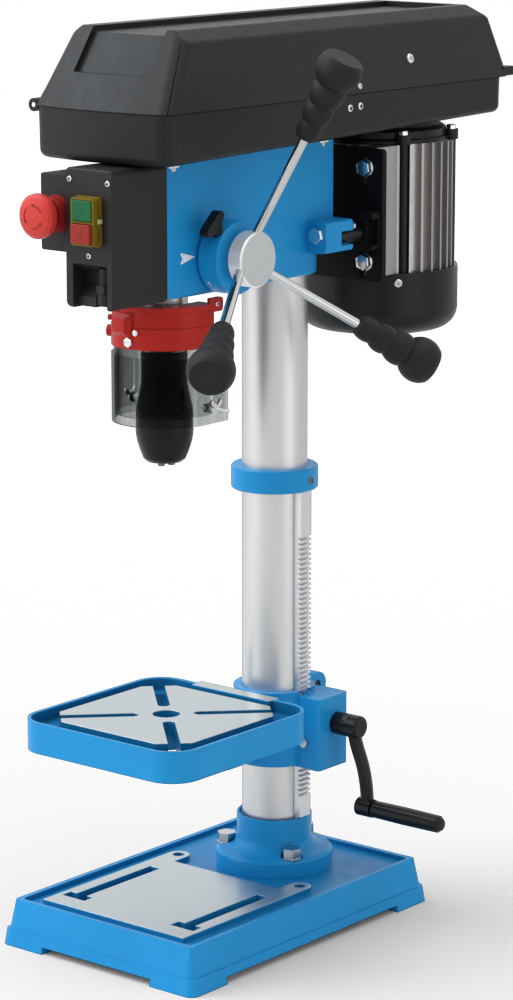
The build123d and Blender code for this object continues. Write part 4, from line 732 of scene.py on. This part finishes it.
def button_marks():
    """Moulded on and off signs on the two buttons."""
    low, high = -0.3, 0.22
    bar = bmesh.new()
    raised_plate(bar, [(-0.7, -3.4), (0.7, -3.4), (0.7, 3.4), (-0.7, 3.4)], low, high, edge=0.1)
    spot = ((start_low + start_high) / 2 / MM).xz
    where = facing((spot[0], start_low.y / MM, spot[1]), FRONT)
    settle("start_sign", bar, button_green, "start_button", where)
    ring = bmesh.new()
    inner, outer = 2.3, 3.5
    section = [(inner, low), (inner, high), (outer, high), (outer, low), (inner, low)]
    spin_profile(ring, section, steps=28)
    spot = ((stop_low + stop_high) / 2 / MM).xz
    where = facing((spot[0], stop_low.y / MM, spot[1]), FRONT)
    settle("stop_sign", ring, button_red, "stop_button", where)


button_marks()


def estop_arrows():
    """Three curved arrows that show which way the E-stop twists to release."""
    bm = bmesh.new()
    inner, outer, low, high = 9.4, 10.4, -0.3, 0.24
    sweep, point, barb = radians(62), radians(17), 1.2
    for k in range(3):
        start = radians(120 * k + 20)
        end = start + sweep
        ring = [bm.verts.new((r * cos(start), r * sin(start), low)) for r in (inner, outer)]
        edge = bm.edges.new(ring)
        bmesh.ops.spin(bm, geom=ring + [edge], axis=(0, 0, 1), cent=(0, 0, 0), angle=sweep, steps=12)
        head = ((inner - barb, end), (outer + barb, end), ((inner + outer) / 2, end + point))
        bm.faces.new([bm.verts.new((r * cos(a), r * sin(a), low)) for r, a in head])
    grown = bmesh.ops.extrude_face_region(bm, geom=bm.faces[:])
    top = [g for g in grown["geom"] if isinstance(g, bmesh.types.BMVert)]
    bmesh.ops.translate(bm, vec=(0, 0, high - low), verts=top)
    spot = (estop_axis.x / MM, estop_low.y / MM + 0.42, estop_axis.z / MM)
    settle("estop_arrows", bm, arrow_dark, "estop_cap", facing(spot, FRONT))


estop_arrows()

# Floor, studio light and camera
FLOOR_HALF = 6.0
AMBIENT = 0.54
floor_mesh = bpy.data.meshes.new("floor")
floor_bm = bmesh.new()
bmesh.ops.create_grid(floor_bm, x_segments=1, y_segments=1, size=FLOOR_HALF)
floor_bm.to_mesh(floor_mesh)
floor_bm.free()
floor = bpy.data.objects.new("floor", floor_mesh)
bpy.context.scene.collection.objects.link(floor)
floor.is_shadow_catcher = True
pale = Finish("pale_floor")
pale_tone = pale.mix(pale.noise(3.0), (0.84, 0.84, 0.84), (0.86, 0.86, 0.86))
pale.set(Base_Color=pale_tone, Roughness=0.8)
floor_mesh.materials.append(pale.material)


def studio_world():
    """White to the camera and in reflections, soft grey light for matt surfaces."""
    world = bpy.data.worlds.new("studio")
    bpy.context.scene.world = world
    world.use_nodes = True
    tree = world.node_tree
    tree.nodes.clear()
    path = tree.nodes.new("ShaderNodeLightPath").outputs
    strength = tree.nodes.new("ShaderNodeMath")
    strength.operation = "MAXIMUM"
    strength.inputs[1].default_value = AMBIENT
    seen = path["Is Camera Ray"]
    for kind in ("Is Glossy Ray", "Is Transmission Ray"):
        either = tree.nodes.new("ShaderNodeMath")
        either.operation = "MAXIMUM"
        tree.links.new(seen, either.inputs[0])
        tree.links.new(path[kind], either.inputs[1])
        seen = either.outputs[0]
    tree.links.new(seen, strength.inputs[0])
    back = tree.nodes.new("ShaderNodeBackground")
    back.inputs["Color"].default_value = (1, 1, 1, 1)
    tree.links.new(strength.outputs[0], back.inputs["Strength"])
    out = tree.nodes.new("ShaderNodeOutputWorld")
    tree.links.new(back.outputs[0], out.inputs["Surface"])


studio_world()
middle = (cad_low + cad_high) / 2


def soft_box(name, place, watts, width, colour=(1, 1, 1)):
    """Square area light, placed in metres and turned to the middle of the machine."""
    data = bpy.data.lights.new(name, "AREA")
    data.energy = watts
    data.color = colour
    data.shape = "SQUARE"
    data.size = width
    lamp = bpy.data.objects.new(name, data)
    lamp.location = place
    lamp.rotation_euler = (middle - Vector(place)).to_track_quat("-Z", "Y").to_euler()
    bpy.context.scene.collection.objects.link(lamp)


soft_box("key_light", (-1.9, -2.2, 1.8), watts=46.0, width=3.0)
soft_box("left_light", (-1.4, -0.8, 2.6), watts=32.0, width=1.8, colour=(0.76, 0.88, 1.0))
soft_box("fill_light", (2.0, 0.1, 0.35), watts=4.0, width=1.2)
soft_box("top_light", (0.2, -0.2, 2.8), watts=26.0, width=3.0)

VIEW_TURN = radians(39.32)
VIEW_RISE = radians(12.14)
VIEW_PLACE = (1.9290, -2.3815, 1.0469)
SENSOR_WIDTH = 36.0
FOCAL_LENGTH = 121.78
lens = bpy.data.cameras.new("photo_camera")
lens.sensor_width = SENSOR_WIDTH
lens.lens = FOCAL_LENGTH
camera = bpy.data.objects.new("photo_camera", lens)
camera.location = VIEW_PLACE
toward = Vector((-sin(VIEW_TURN) * cos(VIEW_RISE), cos(VIEW_TURN) * cos(VIEW_RISE), -sin(VIEW_RISE)))
camera.rotation_euler = toward.to_track_quat("-Z", "Y").to_euler()
bpy.context.scene.collection.objects.link(camera)
bpy.context.scene.camera = camera
bpy.context.scene.view_settings.view_transform = "Standard"
